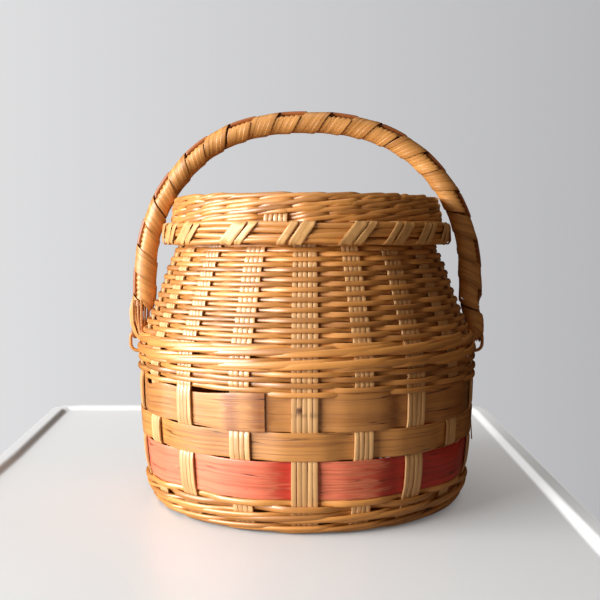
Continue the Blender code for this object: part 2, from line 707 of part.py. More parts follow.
def make_body():
    cane = material("cane", CANE, 0.45)
    pale = material("pale_cane", PALE_CANE, 0.45)
    dark = material("dark_cane", DARK_CANE, 0.5)
    red = material("red_splint_dye", RED_DYE, 0.55)
    gold = material("gold_splint", GOLD_SPLINT, 0.5)
    grey = material("weathered_splint", GREY_SPLINT, 0.6)
    make_base(dark)
    for row in range(3):
        woven_hoop(f"foot_row_{row + 1}", row * FOOT_ROW_STEP, FOOT_ROW_HEIGHT, row, cane)
    for k in range(STAKE_COUNT):
        make_stake(k, pale)
    splint_hoop("red_splint", RED_BOTTOM, RED_SPLINT_HEIGHT, 1, red)
    splint_hoop("middle_splint", MIDDLE_BOTTOM, MIDDLE_SPLINT_HEIGHT, 0, gold)
    splint_hoop("top_splint", TOP_BOTTOM, TOP_SPLINT_HEIGHT, 1, grey)
    woven_hoop("lower_row_1", LOWER_BOTTOM, LOWER_ROW_HEIGHT, 0, cane)
    woven_hoop("lower_row_2", LOWER_BOTTOM + LOWER_STEP, LOWER_ROW_HEIGHT, 1, cane)
    woven_hoop("shoulder_rod_lower", SHOULDER_BOTTOM, SHOULDER_ROD_HEIGHT, 0, cane)
    woven_hoop("shoulder_rod_upper", SHOULDER_BOTTOM + SHOULDER_STEP, SHOULDER_ROD_HEIGHT, 1,
               cane)
    neck_weaver("neck_weaver_a", 5, 0, cane)
    neck_weaver("neck_weaver_b", 16, 1, cane)
    make_rim(cane)
    for side in (-1, 1):
        make_hinge_ring(side, dark)


def make_lid():
    cane = material("cane", CANE, 0.45)
    pale = material("pale_cane", PALE_CANE, 0.45)
    seat = make_empty("lid_axis", (0.0, 0.0, LID_SKIRT_BOTTOM))
    make_border_rods(cane, seat)
    make_lashing(pale, seat)
    make_lid_frame(pale, seat)
    for index in range(LID_ROWS):
        lid_row(index, cane, seat)
    make_crown(cane, seat)


def make_handle():
    pale = material("pale_cane", PALE_CANE, 0.45)
    dark = material("dark_cane", DARK_CANE, 0.5)
    pivot = make_empty("handle_axis", (0.0, 0.0, PIVOT_HEIGHT))
    make_handle_loop(dark, pivot)
    make_handle_core("handle_inner_rod", -1, INNER_ROD_START, dark, pivot)
    make_handle_core("handle_outer_rod", 1, OUTER_ROD_START, dark, pivot)
    make_wrap(pale, pivot)


def main():
    clear_scene()
    make_body()
    make_lid()
    make_handle()
    bpy.context.view_layer.update()


if __name__ == "__main__":
    main()
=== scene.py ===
"""Woven basket with a lid and a wrapped handle: the finished look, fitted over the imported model.

Metres, +Z up.  Angles round the basket are degrees from the front, growing towards the right.
"""
import json
import math

import bmesh
import bpy
import numpy as np
from bpy.props import FloatProperty, FloatVectorProperty, IntProperty, PointerProperty
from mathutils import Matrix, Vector


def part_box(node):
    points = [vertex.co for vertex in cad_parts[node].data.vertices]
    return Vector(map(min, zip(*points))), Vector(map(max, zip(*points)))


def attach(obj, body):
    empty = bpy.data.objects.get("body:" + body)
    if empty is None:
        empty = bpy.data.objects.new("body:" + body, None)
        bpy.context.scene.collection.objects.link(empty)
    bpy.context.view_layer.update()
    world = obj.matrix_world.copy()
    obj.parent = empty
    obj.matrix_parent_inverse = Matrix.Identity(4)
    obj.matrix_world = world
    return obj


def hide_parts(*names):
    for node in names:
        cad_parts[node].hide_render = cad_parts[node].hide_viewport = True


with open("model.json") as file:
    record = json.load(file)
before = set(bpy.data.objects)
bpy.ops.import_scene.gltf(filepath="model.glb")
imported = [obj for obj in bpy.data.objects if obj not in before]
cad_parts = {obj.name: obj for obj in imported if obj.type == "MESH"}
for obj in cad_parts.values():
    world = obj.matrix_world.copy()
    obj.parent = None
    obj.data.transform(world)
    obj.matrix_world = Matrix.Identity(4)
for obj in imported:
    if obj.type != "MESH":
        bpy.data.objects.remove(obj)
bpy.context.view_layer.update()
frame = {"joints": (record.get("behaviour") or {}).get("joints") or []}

bl_info = {
    "name": "Woven Basket",
    "version": (1, 0, 0),
    "blender": (4, 5, 0),
    "location": "View3D > Sidebar > Basket",
    "description": "Weaves a lidded basket of cane and splint over its packed model",
    "category": "Add Mesh",
}

# ---------------------------------------------------------------- frame sizes
STAKES = 20
STAKE_SHIFT = (-0.05, -0.06, -0.06, -0.06, 0.15, 0.34, 0.28, 0.21, 0.14, 0.07,
               0.0, -0.07, -0.14, -0.21, -0.28, -0.34, -0.17, -0.23, -0.29, -0.15)
RED_LOW, RED_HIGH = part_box("red_splint")[0].z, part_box("red_splint")[1].z
MID_LOW, MID_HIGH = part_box("middle_splint")[0].z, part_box("middle_splint")[1].z
TOP_LOW, TOP_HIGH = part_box("top_splint")[0].z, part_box("top_splint")[1].z
RIM_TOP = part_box("rim_hoop_outer")[1].z
BORDER_LOW, BORDER_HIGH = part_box("lid_lashing")[0].z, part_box("lid_lashing")[1].z
CROWN_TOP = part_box("lid_crown")[1].z
PIVOT = next(j for j in frame["joints"] if j["name"] == "handle_swing")["pos_m"][2]
ARCH_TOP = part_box("handle_wrap")[1].z

# Middle line of the wall, (height, radius) from the foot to the rim
WALL = ((0.0, 0.1205), (0.0060, 0.1262), (0.0144, 0.1309), (0.0265, 0.1330), (0.0400, 0.1350),
        (0.0700, 0.1371), (0.1030, 0.1382), (0.1150, 0.1380), (0.1270, 0.1372), (0.1370, 0.1344),
        (0.1480, 0.1295), (0.1628, 0.1233), (0.1914, 0.1128), (0.2038, 0.1070), (0.2150, 0.1015),
        (0.2300, 0.0955))
_heights = np.linspace(-0.01, 0.24, 501)
_radii = np.interp(_heights, [z for z, _ in WALL], [r for _, r in WALL])
_radii = np.convolve(np.pad(_radii, 12, mode="edge"), np.hanning(27)[1:-1] / np.hanning(27).sum(),
                     mode="valid")
_slopes = np.gradient(_radii, _heights)


# ---------------------------------------------------------------- settings
class BasketWeave(bpy.types.PropertyGroup):
    """Sizes of the reeds and splints."""
    weaver_height: FloatProperty(
        name="Weaver height", description="Height of one neck weaver", default=0.0037,
        min=0.001, max=0.01, subtype="DISTANCE")
    weaver_depth: FloatProperty(
        name="Weaver depth", description="Thickness of one neck weaver through the wall",
        default=0.0024, min=0.001, max=0.01, subtype="DISTANCE")
    row_rise: FloatProperty(
        name="Row rise", description="Height from one neck row to the next", default=0.00358,
        min=0.001, max=0.02, subtype="DISTANCE")
    reed_width: FloatProperty(
        name="Reed width", description="Width of one upright reed", default=0.0037,
        min=0.001, max=0.01, subtype="DISTANCE")
    splint_thickness: FloatProperty(
        name="Splint thickness", description="Thickness of the wide flat splints",
        default=0.0011, min=0.0002, max=0.004, subtype="DISTANCE")
    wrap_turns: IntProperty(
        name="Handle turns", description="Turns of splint round the handle", default=23,
        min=5, max=60)
    seed: IntProperty(
        name="Seed", description="Seed for the small irregularities", default=7, min=0, max=999)


class BasketColours(bpy.types.PropertyGroup):
    """Colours of the cane and splints, linear."""
    weaver: FloatVectorProperty(
        name="Weavers", description="Tan cane of the weaving", subtype="COLOR",
        default=(0.80, 0.345, 0.075), min=0, max=1)
    reed: FloatVectorProperty(
        name="Reeds", description="Pale cane of the upright reeds", subtype="COLOR",
        default=(0.88, 0.52, 0.22), min=0, max=1)
    lashing: FloatVectorProperty(
        name="Lashing", description="Flat splint of the lid's lashing", subtype="COLOR",
        default=(0.82, 0.47, 0.18), min=0, max=1)
    wrap: FloatVectorProperty(
        name="Handle wrap", description="Flat splint wound round the handle", subtype="COLOR",
        default=(0.76, 0.36, 0.10), min=0, max=1)
    core: FloatVectorProperty(
        name="Handle core", description="Dark rods inside the handle", subtype="COLOR",
        default=(0.42, 0.13, 0.03), min=0, max=1)
    red: FloatVectorProperty(
        name="Red splint", description="Red dye", subtype="COLOR",
        default=(0.93, 0.305, 0.165), min=0, max=1)
    gold: FloatVectorProperty(
        name="Golden splint", description="Golden split wood", subtype="COLOR",
        default=(0.76, 0.345, 0.085), min=0, max=1)
    grey: FloatVectorProperty(
        name="Weathered splint", description="Grey-brown split wood", subtype="COLOR",
        default=(0.74, 0.335, 0.09), min=0, max=1)


# ---------------------------------------------------------------- numbers
def random_for(name):
    """A random source of a piece's own, the same in every run."""
    seed = bpy.context.scene.basket_weave.seed
    return np.random.default_rng(seed * 1000 + sum(map(ord, name)))


def wander(rng, along, wave, size):
    """A smooth random line: a few slow sines with their own phases."""
    total = np.zeros_like(along)
    for part in (1.0, 1.9, 3.3):
        total += np.sin(along * math.tau * part / wave + rng.uniform(0, math.tau)) / part
    return total * size / 1.6


def smooth(value):
    value = np.clip(value, 0.0, 1.0)
    return value * value * (3 - 2 * value)


def stake_angle(index):
    index = np.asarray(index)
    place = np.mod(index, STAKES)
    turn = np.floor_divide(index, STAKES)
    step = 360.0 / STAKES
    return (place + np.asarray(STAKE_SHIFT)[place]) * step + 360.0 * turn


_marks = np.arange(-2 * STAKES, 40 * STAKES)
_mark_angles = stake_angle(_marks)


def angle_at(count):
    """Angle for a running stake count that may fall between stakes."""
    return np.interp(count, _marks, _mark_angles)


def wall_radius(height):
    return np.interp(height, _heights, _radii)


def wall_frame(angle, height):
    """(point on the wall, outward, up along the wall) for each angle and height."""
    turn = np.radians(angle)
    slope = np.interp(height, _heights, _slopes)
    away = np.stack([np.sin(turn), -np.cos(turn), np.zeros_like(turn)], 1)
    radius = wall_radius(height)
    spot = away * radius[:, None]
    spot[:, 2] = height
    size = np.sqrt(1 + slope ** 2)
    out = away / size[:, None]
    out[:, 2] = -slope / size
    up = away * (slope / size)[:, None]
    up[:, 2] = 1 / size
    return spot, out, up


def unit(vectors):
    return vectors / np.maximum(np.linalg.norm(vectors, axis=1), 1e-9)[:, None]


# ---------------------------------------------------------------- strands
class Strands:
    """Lines that one tree sweeps into reeds or splints."""

    def __init__(self):
        self.lines = []

    def add(self, points, out, wide, thick, tone=0.5, mark=0.0, closed=False, start=0.0):
        """wide and thick are half sizes; tone picks a strand's colour between light and dark, and mark
        darkens a stretch of it: real spots and knots, and on the red and weathered splints also painted
        shade.
        """
        points = np.asarray(points, float)
        count = len(points)
        if closed:
            ahead = np.roll(points, -1, 0) - np.roll(points, 1, 0)
        else:
            ahead = np.gradient(points, axis=0)
        ahead = unit(ahead)
        side = unit(np.cross(ahead, out))
        out = np.cross(side, ahead)
        steps = np.linalg.norm(np.diff(points, axis=0), axis=1)
        along = np.concatenate([[0.0], np.cumsum(steps)]) + start
        full = np.ones(count)
        self.lines.append((points, out, side, wide * full, thick * full, tone * full,
                           mark * full, along, closed))

    def mesh(self, name):
        data = bpy.data.meshes.new(name)
        edges = []
        base = 0
        for line in self.lines:
            count = len(line[0])
            run = np.arange(base, base + count)
            edges.append(np.stack([run[:-1], run[1:]], 1))
            if line[8]:
                edges.append(np.array([[run[-1], run[0]]]))
            base += count
        data.from_pydata(np.concatenate([line[0] for line in self.lines]),
                         np.concatenate(edges), [])
        for index, (label, kind) in enumerate((("out", "FLOAT_VECTOR"), ("side", "FLOAT_VECTOR"),
                                               ("half_wide", "FLOAT"), ("half_thick", "FLOAT"),
                                               ("tone", "FLOAT"), ("mark", "FLOAT"),
                                               ("along", "FLOAT"))):
            field = data.attributes.new(label, kind, "POINT")
            values = np.concatenate([line[index + 1] for line in self.lines])
            field.data.foreach_set("vector" if kind == "FLOAT_VECTOR" else "value",
                                   values.astype(np.float32).ravel())
        return data


def node(tree, kind, links=(), **settings):
    """Adds a node; links are (input, socket or value) pairs."""
    made = tree.nodes.new(kind)
    for key, value in settings.items():
        setattr(made, key, value)
    for place, value in links:
        if isinstance(value, bpy.types.NodeSocket):
            tree.links.new(value, made.inputs[place])
        else:
            made.inputs[place].default_value = value
    return made


def named(tree, label, kind="FLOAT"):
    made = node(tree, "GeometryNodeInputNamedAttribute", [("Name", label)], data_type=kind)
    return made.outputs["Attribute"]


def store(tree, geometry, label, value, kind="FLOAT_VECTOR"):
    made = node(tree, "GeometryNodeStoreNamedAttribute",
                [("Geometry", geometry), ("Name", label), ("Value", value)],
                data_type=kind, domain="POINT")
    return made.outputs["Geometry"]


def arithmetic(tree, operation, *values):
    made = node(tree, "ShaderNodeMath", [], operation=operation)
    for place, value in enumerate(values):
        if isinstance(value, bpy.types.NodeSocket):
            tree.links.new(value, made.inputs[place])
        else:
            made.inputs[place].default_value = value
    return made.outputs[0]


def vector_of(tree, operation, *values):
    made = node(tree, "ShaderNodeVectorMath", [], operation=operation)
    for place, value in enumerate(values):
        if operation == "SCALE" and place == 1:
            place = 3
        if isinstance(value, bpy.types.NodeSocket):
            tree.links.new(value, made.inputs[place])
        else:
            made.inputs[place].default_value = value
    return made.outputs[0]


def strand_tree():
    """Geometry Nodes tree that sweeps every line into a reed with its own width and depth."""
    tree = bpy.data.node_groups.get("Basket strand")
    if tree:
        return tree
    tree = bpy.data.node_groups.new("Basket strand", "GeometryNodeTree")
    face = tree.interface
    face.new_socket("Geometry", in_out="INPUT", socket_type="NodeSocketGeometry")
    face.new_socket("Geometry", in_out="OUTPUT", socket_type="NodeSocketGeometry")
    for label, kind, value in (("Sides", "NodeSocketInt", 10), ("Squareness", "NodeSocketFloat", 1.0),
                               ("Roughen", "NodeSocketFloat", 0.0), ("Seed", "NodeSocketInt", 3),
                               ("Material", "NodeSocketMaterial", None)):
        socket = face.new_socket(label, in_out="INPUT", socket_type=kind)
        if value is not None:
            socket.default_value = value
    group_in = node(tree, "NodeGroupInput")
    group_out = node(tree, "NodeGroupOutput")
    here = node(tree, "GeometryNodeInputPosition").outputs[0]
    geometry = store(tree, group_in.outputs["Geometry"], "centre", here)
    rail = node(tree, "GeometryNodeMeshToCurve", [("Mesh", geometry)]).outputs["Curve"]
    circle = node(tree, "GeometryNodeCurvePrimitiveCircle",
                  [("Resolution", group_in.outputs["Sides"]), ("Radius", 1.0)]).outputs["Curve"]
    circle = store(tree, circle, "around", here)
    swept = node(tree, "GeometryNodeCurveToMesh",
                 [("Curve", rail), ("Profile Curve", circle), ("Fill Caps", True)]).outputs["Mesh"]
    parts = node(tree, "ShaderNodeSeparateXYZ", [(0, named(tree, "around", "FLOAT_VECTOR"))])
    across = []
    for place in ("X", "Y"):
        value = parts.outputs[place]
        size = arithmetic(tree, "POWER", arithmetic(tree, "ABSOLUTE", value),
                          group_in.outputs["Squareness"])
        across.append(arithmetic(tree, "MULTIPLY", size, arithmetic(tree, "SIGN", value)))
    wide = arithmetic(tree, "MULTIPLY", across[0], named(tree, "half_wide"))
    thick = arithmetic(tree, "MULTIPLY", across[1], named(tree, "half_thick"))
    reed = node(tree, "ShaderNodeCombineXYZ",
                [(0, named(tree, "along")), (1, wide), (2, thick)]).outputs[0]
    swept = store(tree, swept, "reed", reed)
    long_noise = vector_of(tree, "MULTIPLY", reed, (60.0, 450.0, 450.0))
    bumps = node(tree, "ShaderNodeTexNoise",
                 [("Vector", long_noise), ("W", group_in.outputs["Seed"]), ("Scale", 1.0),
                  ("Detail", 2.0)], noise_dimensions="4D")
    swell = arithmetic(tree, "MULTIPLY",
                       arithmetic(tree, "SUBTRACT", bumps.outputs["Fac"], 0.5),
                       group_in.outputs["Roughen"])
    swell = arithmetic(tree, "ADD", swell, 1.0)
    move = vector_of(tree, "ADD",
                     vector_of(tree, "SCALE", named(tree, "side", "FLOAT_VECTOR"), wide),
                     vector_of(tree, "SCALE", named(tree, "out", "FLOAT_VECTOR"), thick))
    place = vector_of(tree, "ADD", named(tree, "centre", "FLOAT_VECTOR"),
                      vector_of(tree, "SCALE", move, swell))
    swept = node(tree, "GeometryNodeSetPosition",
                 [("Geometry", swept), ("Position", place)]).outputs["Geometry"]
    swept = node(tree, "GeometryNodeRealizeInstances",
                 [("Geometry", swept)]).outputs["Geometry"]
    swept = node(tree, "GeometryNodeSetMaterial",
                 [("Geometry", swept), ("Material", group_in.outputs["Material"])])
    tree.links.new(swept.outputs["Geometry"], group_out.inputs["Geometry"])
    return tree


def weave(name, strands, material, body, nodes=(), sides=10, square=1.0,
          roughen=0.06):
    """Sweeps the strands, keeps them as one plain mesh and hands it to its body."""
    tree = strand_tree()
    carrier = bpy.data.objects.new(name + "_lines", strands.mesh(name + "_lines"))
    bpy.context.scene.collection.objects.link(carrier)
    live = carrier.modifiers.new("Strand", "NODES")
    live.node_group = tree
    wanted = {"Sides": sides, "Squareness": square, "Roughen": roughen,
              "Seed": sum(map(ord, name)) % 97, "Material": material}
    for item in tree.interface.items_tree:
        if item.in_out == "INPUT" and item.name in wanted:
            live[item.identifier] = wanted[item.name]
    graph = bpy.context.evaluated_depsgraph_get()
    mesh = bpy.data.meshes.new_from_object(carrier.evaluated_get(graph),
                                           preserve_all_data_layers=True, depsgraph=graph)
    bpy.data.objects.remove(carrier, do_unlink=True)
    return finish_piece(name, mesh, material, body, nodes)


def finish_piece(name, mesh, material, body, nodes=(), sharp=50):
    bm = bmesh.new()
    bm.from_mesh(mesh)
    bmesh.ops.recalc_face_normals(bm, faces=bm.faces)
    bm.to_mesh(mesh)
    bm.free()
    mesh.name = name
    mesh.materials.clear()
    mesh.materials.append(material)
    for label in ("centre", "around", "out", "side", "half_wide", "half_thick", "along"):
        field = mesh.attributes.get(label)
        if field:
            mesh.attributes.remove(field)
    mesh.shade_smooth()
    mesh.set_sharp_from_angle(angle=math.radians(sharp))
    made = bpy.data.objects.new(name, mesh)
    bpy.context.scene.collection.objects.link(made)
    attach(made, body)
    if nodes:
        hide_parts(*nodes)
    return made


# ---------------------------------------------------------------- weaving paths
def swing(count, phase, period, out, back, edge=0.21):
    """Offset through the wall: behind at each multiple of period, in front between."""
    place = np.mod(count - phase, period)
    near = np.minimum(place, period - place)
    share = smooth((near - edge) / (1.0 - 2 * edge))
    value = -back + (out + back) * share
    belly = np.clip((near - (1 - edge)) / max(edge + period / 2 - 1, 1e-6), 0, 1)
    return value + out * 0.10 * smooth(belly)


def row_points(first, last, height, offset, per_stake=11):
    """Counts, points and outward for a row; it bends level, so that sloping rows stay closed."""
    count = np.linspace(first, last, max(int(round((last - first) * per_stake)), 4) + 1)
    level = height(count)
    spot, out, _ = wall_frame(angle_at(count), level)
    flat = out * [1, 1, 0]
    flat = flat / (flat ** 2).sum(1)[:, None]
    return count, spot + flat * offset(count)[:, None], out


def plain_row(strands, rng, first, last, low, rise, phase, wide, thick, out, back,
              tone=(0.0, 1.0), lift=0.00014, breaks=(13, 29), wall=row_points):
    """A weaver over one, under one, spliced behind stakes into lengths of their own tone."""
    start = first
    while start < last - 0.01:
        length = rng.integers(breaks[0], breaks[1])
        stop = start + length
        stop = phase + 2 * round((stop - phase) / 2) + 0.12
        if stop > last - 4:
            stop = last
        shade = rng.uniform(*tone)
        turns = 1.0 / STAKES
        noise = rng.uniform(0, 50)

        def height(count):
            level = low + rise * (count - first) * turns
            return level + wander(np.random.default_rng(int(noise * 1000)), count, 9.0, lift)

        def offset(count):
            value = swing(count, phase, 2, out, back)
            return value + wander(np.random.default_rng(int(noise * 1000) + 1), count, 2.7, 0.00022)

        count, points, outward = wall(start, stop, height, offset)
        full = 1.08 + wander(rng, count, 5.0, 0.05) - 0.08 * np.cos(math.tau * count)
        fade = np.clip(np.minimum(count - start, stop - count) / 0.12 + 0.35, 0, 1)
        strands.add(points, outward, wide * full * (0.6 + 0.4 * fade), thick * fade,
                    tone=np.clip(shade + wander(rng, count, 4.0, 0.22), 0, 1),
                    start=rng.uniform(0, 9))
        start = stop - 0.24 if stop < last else last


def waled_rows(strands, rng, first, turns, low, rise, wide, thick, out, back, slope,
               tone=(0.1, 0.9), reach=row_points, steps=STAKES, uneven=0.0003, lumps=0.06,
               lengths=(24, 45), loose=0.0):
    """Three strands, each over two steps and under one, that climb together like a rope."""
    rods = 3
    for strand in range(rods):
        begin = first + strand * 0.02
        last = first + turns * steps
        start = begin
        while start < last - 0.01:
            stop = start + rng.integers(*lengths)
            stop = strand + rods * round((stop - strand) / rods) + 0.1
            stop += 1.2 * (rng.uniform() < loose)
            if stop > last - 5:
                stop = last
            shade = rng.uniform(*tone)
            code = int(rng.integers(1, 10 ** 6))

            def height(count):
                place = np.mod(count - strand, rods)
                run = np.where(place < 0.3, 1 - place / 0.3,
                               np.where(place > rods - 0.1, 1.0, (place - 0.3) / (rods - 0.4)))
                run = smooth(run) * 0.5 + run * 0.5
                ring = np.maximum(count - first, 0) / steps
                climb = np.floor(ring) + smooth((ring - np.floor(ring) - 0.9) / 0.1)
                level = low + rise * climb + slope * (2 * run - 1)
                return level + wander(np.random.default_rng(code), count, 5.0, uneven)

            def offset(count):
                value = swing(count, strand, rods, out, back, 0.2)
                return value + wander(np.random.default_rng(code + 1), count, 2.3, uneven)

            count, points, outward = reach(start, stop, height, offset)
            full = 1 + wander(rng, count, 5.0, lumps)
            fade = np.clip(np.minimum(count - start, stop - count) / 0.12 + 0.35, 0, 1)
            strands.add(points, outward, wide * full * (0.6 + 0.4 * fade), thick * full * fade,
                        tone=np.clip(shade + wander(rng, count, 6.0, 0.16), 0, 1),
                        start=rng.uniform(0, 9))
            start = stop - 0.2 if stop < last else last


# ---------------------------------------------------------------- materials
def shader_group(name, outputs, inputs=()):
    tree = bpy.data.node_groups.get(name)
    if tree:
        return tree, None, None
    tree = bpy.data.node_groups.new(name, "ShaderNodeTree")
    for label, kind, value in inputs:
        socket = tree.interface.new_socket(label, in_out="INPUT", socket_type=kind)
        socket.default_value = value
    for label, kind in outputs:
        tree.interface.new_socket(label, in_out="OUTPUT", socket_type=kind)
    return tree, node(tree, "NodeGroupInput"), node(tree, "NodeGroupOutput")


def noise(tree, vector, scale, detail=3.0, rough=0.5):
    made = node(tree, "ShaderNodeTexNoise", [("Vector", vector), ("Scale", scale),
                                             ("Detail", detail), ("Roughness", rough)])
    return made.outputs["Fac"]


def remap(tree, value, low, high, to_low=0.0, to_high=1.0):
    made = node(tree, "ShaderNodeMapRange", [(0, value), (1, low), (2, high), (3, to_low),
                                             (4, to_high)])
    return made.outputs[0]


def mixed(tree, share, one, two, blend="MIX"):
    made = node(tree, "ShaderNodeMix", [(0, share)], data_type="RGBA", blend_type=blend)
    for place, value in ((6, one), (7, two)):
        if isinstance(value, bpy.types.NodeSocket):
            tree.links.new(value, made.inputs[place])
        else:
            made.inputs[place].default_value = (*value, 1.0) if len(value) == 3 else value
    return made.outputs[2]


def cane_group():
    """Colour, roughness and height of round or split cane, from the strand's own lines."""
    tree, source, sink = shader_group(
        "Cane surface",
        (("Color", "NodeSocketColor"), ("Roughness", "NodeSocketFloat"),
         ("Height", "NodeSocketFloat")),
        (("Light", "NodeSocketColor", (0.7, 0.5, 0.2, 1)), ("Dark", "NodeSocketColor", (0.3, 0.15, 0.05, 1)),
         ("Stain", "NodeSocketColor", (0.22, 0.14, 0.10, 1)), ("Grain", "NodeSocketFloat", 0.3),
         ("Scars", "NodeSocketFloat", 0.5), ("Cracks", "NodeSocketFloat", 0.0),
         ("Fineness", "NodeSocketFloat", 1.0)))
    if source is None:
        return tree
    reed = node(tree, "ShaderNodeAttribute", attribute_name="reed").outputs["Vector"]
    tone = node(tree, "ShaderNodeAttribute", attribute_name="tone").outputs["Fac"]
    mark = node(tree, "ShaderNodeAttribute", attribute_name="mark").outputs["Fac"]
    place = node(tree, "ShaderNodeTexCoord").outputs["Object"]
    fine = vector_of(tree, "SCALE", vector_of(tree, "MULTIPLY", reed, (22.0, 1500.0, 1500.0)),
                     source.outputs["Fineness"])
    fibres = noise(tree, fine, 1.0, 3.0, 0.6)
    coarse = vector_of(tree, "MULTIPLY", reed, (9.0, 420.0, 420.0))
    streaks = noise(tree, coarse, 1.0, 2.0, 0.5)
    patches = noise(tree, vector_of(tree, "MULTIPLY", reed, (26.0, 160.0, 160.0)), 1.0, 3.0, 0.6)
    cloud = noise(tree, place, 22.0, 3.0, 0.6)
    share = arithmetic(tree, "MULTIPLY", tone, 0.62)
    share = arithmetic(tree, "MULTIPLY_ADD", patches, 0.45, share)
    share = arithmetic(tree, "MULTIPLY_ADD", cloud, 0.35, share)
    share = arithmetic(tree, "MULTIPLY_ADD", streaks, 0.30, share)
    share = remap(tree, share, 0.50, 1.20)
    colour = mixed(tree, share, source.outputs["Dark"], source.outputs["Light"])
    lines = remap(tree, fibres, 0.30, 0.55, 1.0, 0.0)
    lines = arithmetic(tree, "MULTIPLY", lines, source.outputs["Grain"])
    colour = mixed(tree, lines, colour,
                   mixed(tree, 1.0, colour, (0.50, 0.34, 0.20), "MULTIPLY"))
    scars = noise(tree, vector_of(tree, "MULTIPLY", reed, (70.0, 260.0, 260.0)), 1.0, 2.0, 0.7)
    scars = remap(tree, scars, 0.70, 0.80)
    scars = arithmetic(tree, "MULTIPLY", scars, source.outputs["Scars"])
    colour = mixed(tree, scars, colour,
                   mixed(tree, 1.0, colour, (0.32, 0.16, 0.08), "MULTIPLY"))
    # marked stretches take the mark colour: real spots and knots, and on the red and weathered splints also
    # painted shade of the right side
    ragged = arithmetic(tree, "ADD", patches, arithmetic(tree, "MULTIPLY", fibres, 0.8))
    edge = arithmetic(tree, "MULTIPLY_ADD", ragged, 2.2, arithmetic(tree, "SUBTRACT", mark, 1.98))
    stained_and_shaded = arithmetic(tree, "MULTIPLY", remap(tree, edge, 0.25, 0.50),
                         remap(tree, mark, 0.0, 0.8, 0.0, 1.0))
    colour = mixed(tree, stained_and_shaded, colour,
                   mixed(tree, 1.0, colour, source.outputs["Stain"], "MULTIPLY"))
    split = noise(tree, vector_of(tree, "MULTIPLY", reed, (4.5, 200.0, 0.0)), 1.0, 1.0, 0.5)
    split = arithmetic(tree, "ABSOLUTE", arithmetic(tree, "SUBTRACT", split, 0.47))
    split = arithmetic(tree, "MULTIPLY", remap(tree, split, 0.003, 0.010, 1.0, 0.0),
                       remap(tree, patches, 0.40, 0.56))
    split = arithmetic(tree, "MULTIPLY", split, source.outputs["Cracks"])
    colour = mixed(tree, split, colour,
                   mixed(tree, 1.0, colour, (0.22, 0.11, 0.06), "MULTIPLY"))
    tree.links.new(colour, sink.inputs["Color"])
    rough = remap(tree, streaks, 0.3, 0.7, 0.34, 0.52)
    rough = arithmetic(tree, "MULTIPLY_ADD", lines, 0.18, rough)
    rough = arithmetic(tree, "MULTIPLY_ADD", scars, 0.2, rough)
    tree.links.new(rough, sink.inputs["Roughness"])
    height = arithmetic(tree, "MULTIPLY", fibres, 0.5)
    height = arithmetic(tree, "MULTIPLY_ADD", streaks, 0.8, height)
    height = arithmetic(tree, "MULTIPLY_ADD", scars, -0.6, height)
    height = arithmetic(tree, "MULTIPLY_ADD", split, -1.2, height)
    tree.links.new(height, sink.inputs["Height"])
    return tree


def cane(name, light, dark, grain=0.3, scars=0.5, fineness=1.0, bump=0.25, gloss=0.5,
         cracks=0.0, stain_and_shade=(0.22, 0.14, 0.10)):
    made = bpy.data.materials.get(name)
    if made:
        return made
    made = bpy.data.materials.new(name)
    made.use_nodes = True
    tree = made.node_tree
    shader = tree.nodes["Principled BSDF"]
    group = node(tree, "ShaderNodeGroup", node_tree=cane_group())
    group.inputs["Light"].default_value = (*light, 1.0)
    group.inputs["Dark"].default_value = (*dark, 1.0)
    group.inputs["Grain"].default_value = grain
    group.inputs["Scars"].default_value = scars
    group.inputs["Fineness"].default_value = fineness
    group.inputs["Cracks"].default_value = cracks
    group.inputs["Stain"].default_value = (*stain_and_shade, 1.0)
    tree.links.new(group.outputs["Color"], shader.inputs["Base Color"])
    tree.links.new(group.outputs["Roughness"], shader.inputs["Roughness"])
    shader.inputs["Specular IOR Level"].default_value = gloss
    shader.inputs["Coat Weight"].default_value = 0.9 * gloss
    shader.inputs["Coat Roughness"].default_value = 0.38
    raised = node(tree, "ShaderNodeBump", [("Height", group.outputs["Height"]),
                                           ("Strength", bump), ("Distance", 0.0004)])
    tree.links.new(raised.outputs["Normal"], shader.inputs["Normal"])
    made.diffuse_color = (*light, 1.0)
    return made


def shade(colour, amount):
    return tuple(channel * amount for channel in colour)


def darker(colour, amount=0.55, warm=0.88):
    """The same cane aged: darker and a little redder."""
    return (colour[0] * amount, colour[1] * amount * warm, colour[2] * amount * warm * 0.82)


# ---------------------------------------------------------------- body pieces
NECK_LOW = 0.1392               # the first neck row and the first row above the splints
LOWER_LOW = 0.1066
LOWER_RISE = 0.00372
REED_COUNTS = {0: 5}
REED_WIDTHS = {0: 1.03, 1: 0.97, 19: 1.08, 2: 1.12, 18: 1.02}


def over_splint(index, zone):
    """True where a stake stands in front of a splint; zone 0 is red, 1 middle, 2 top."""
    return (index % 2 == 0) == (zone != 1)


def stake_offset(index, height):
    """A stake leans out where it passes over a splint and in where it passes under."""
    value = np.zeros_like(height)
    for zone, (low, high) in enumerate(((RED_LOW, RED_HIGH), (MID_LOW, MID_HIGH),
                                        (TOP_LOW, TOP_HIGH))):
        lean = 0.0011 if over_splint(index, zone) else -0.0011
        inside = smooth((height - low + 0.004) / 0.008) * smooth((high + 0.004 - height) / 0.008)
        value += lean * inside
    return value


def reed_wave(index, height, rise):
    """A reed bends out at the rows that pass behind it and in at those in front of it."""
    side = 1 if index % 2 == 0 else -1
    neck = NECK_LOW + rise * (index - 5) / 10
    total = np.zeros_like(height)
    for start, pitch, low, high in ((neck, rise, NECK_LOW + 0.001, RIM_TOP),
                                    (LOWER_LOW, LOWER_RISE, LOWER_LOW - 0.001, LOWER_LOW + 0.013)):
        inside = smooth((height - low) / 0.003) * smooth((high - height) / 0.003)
        total += side * 0.0008 * np.cos(np.pi * (height - start) / pitch) * inside
    return total


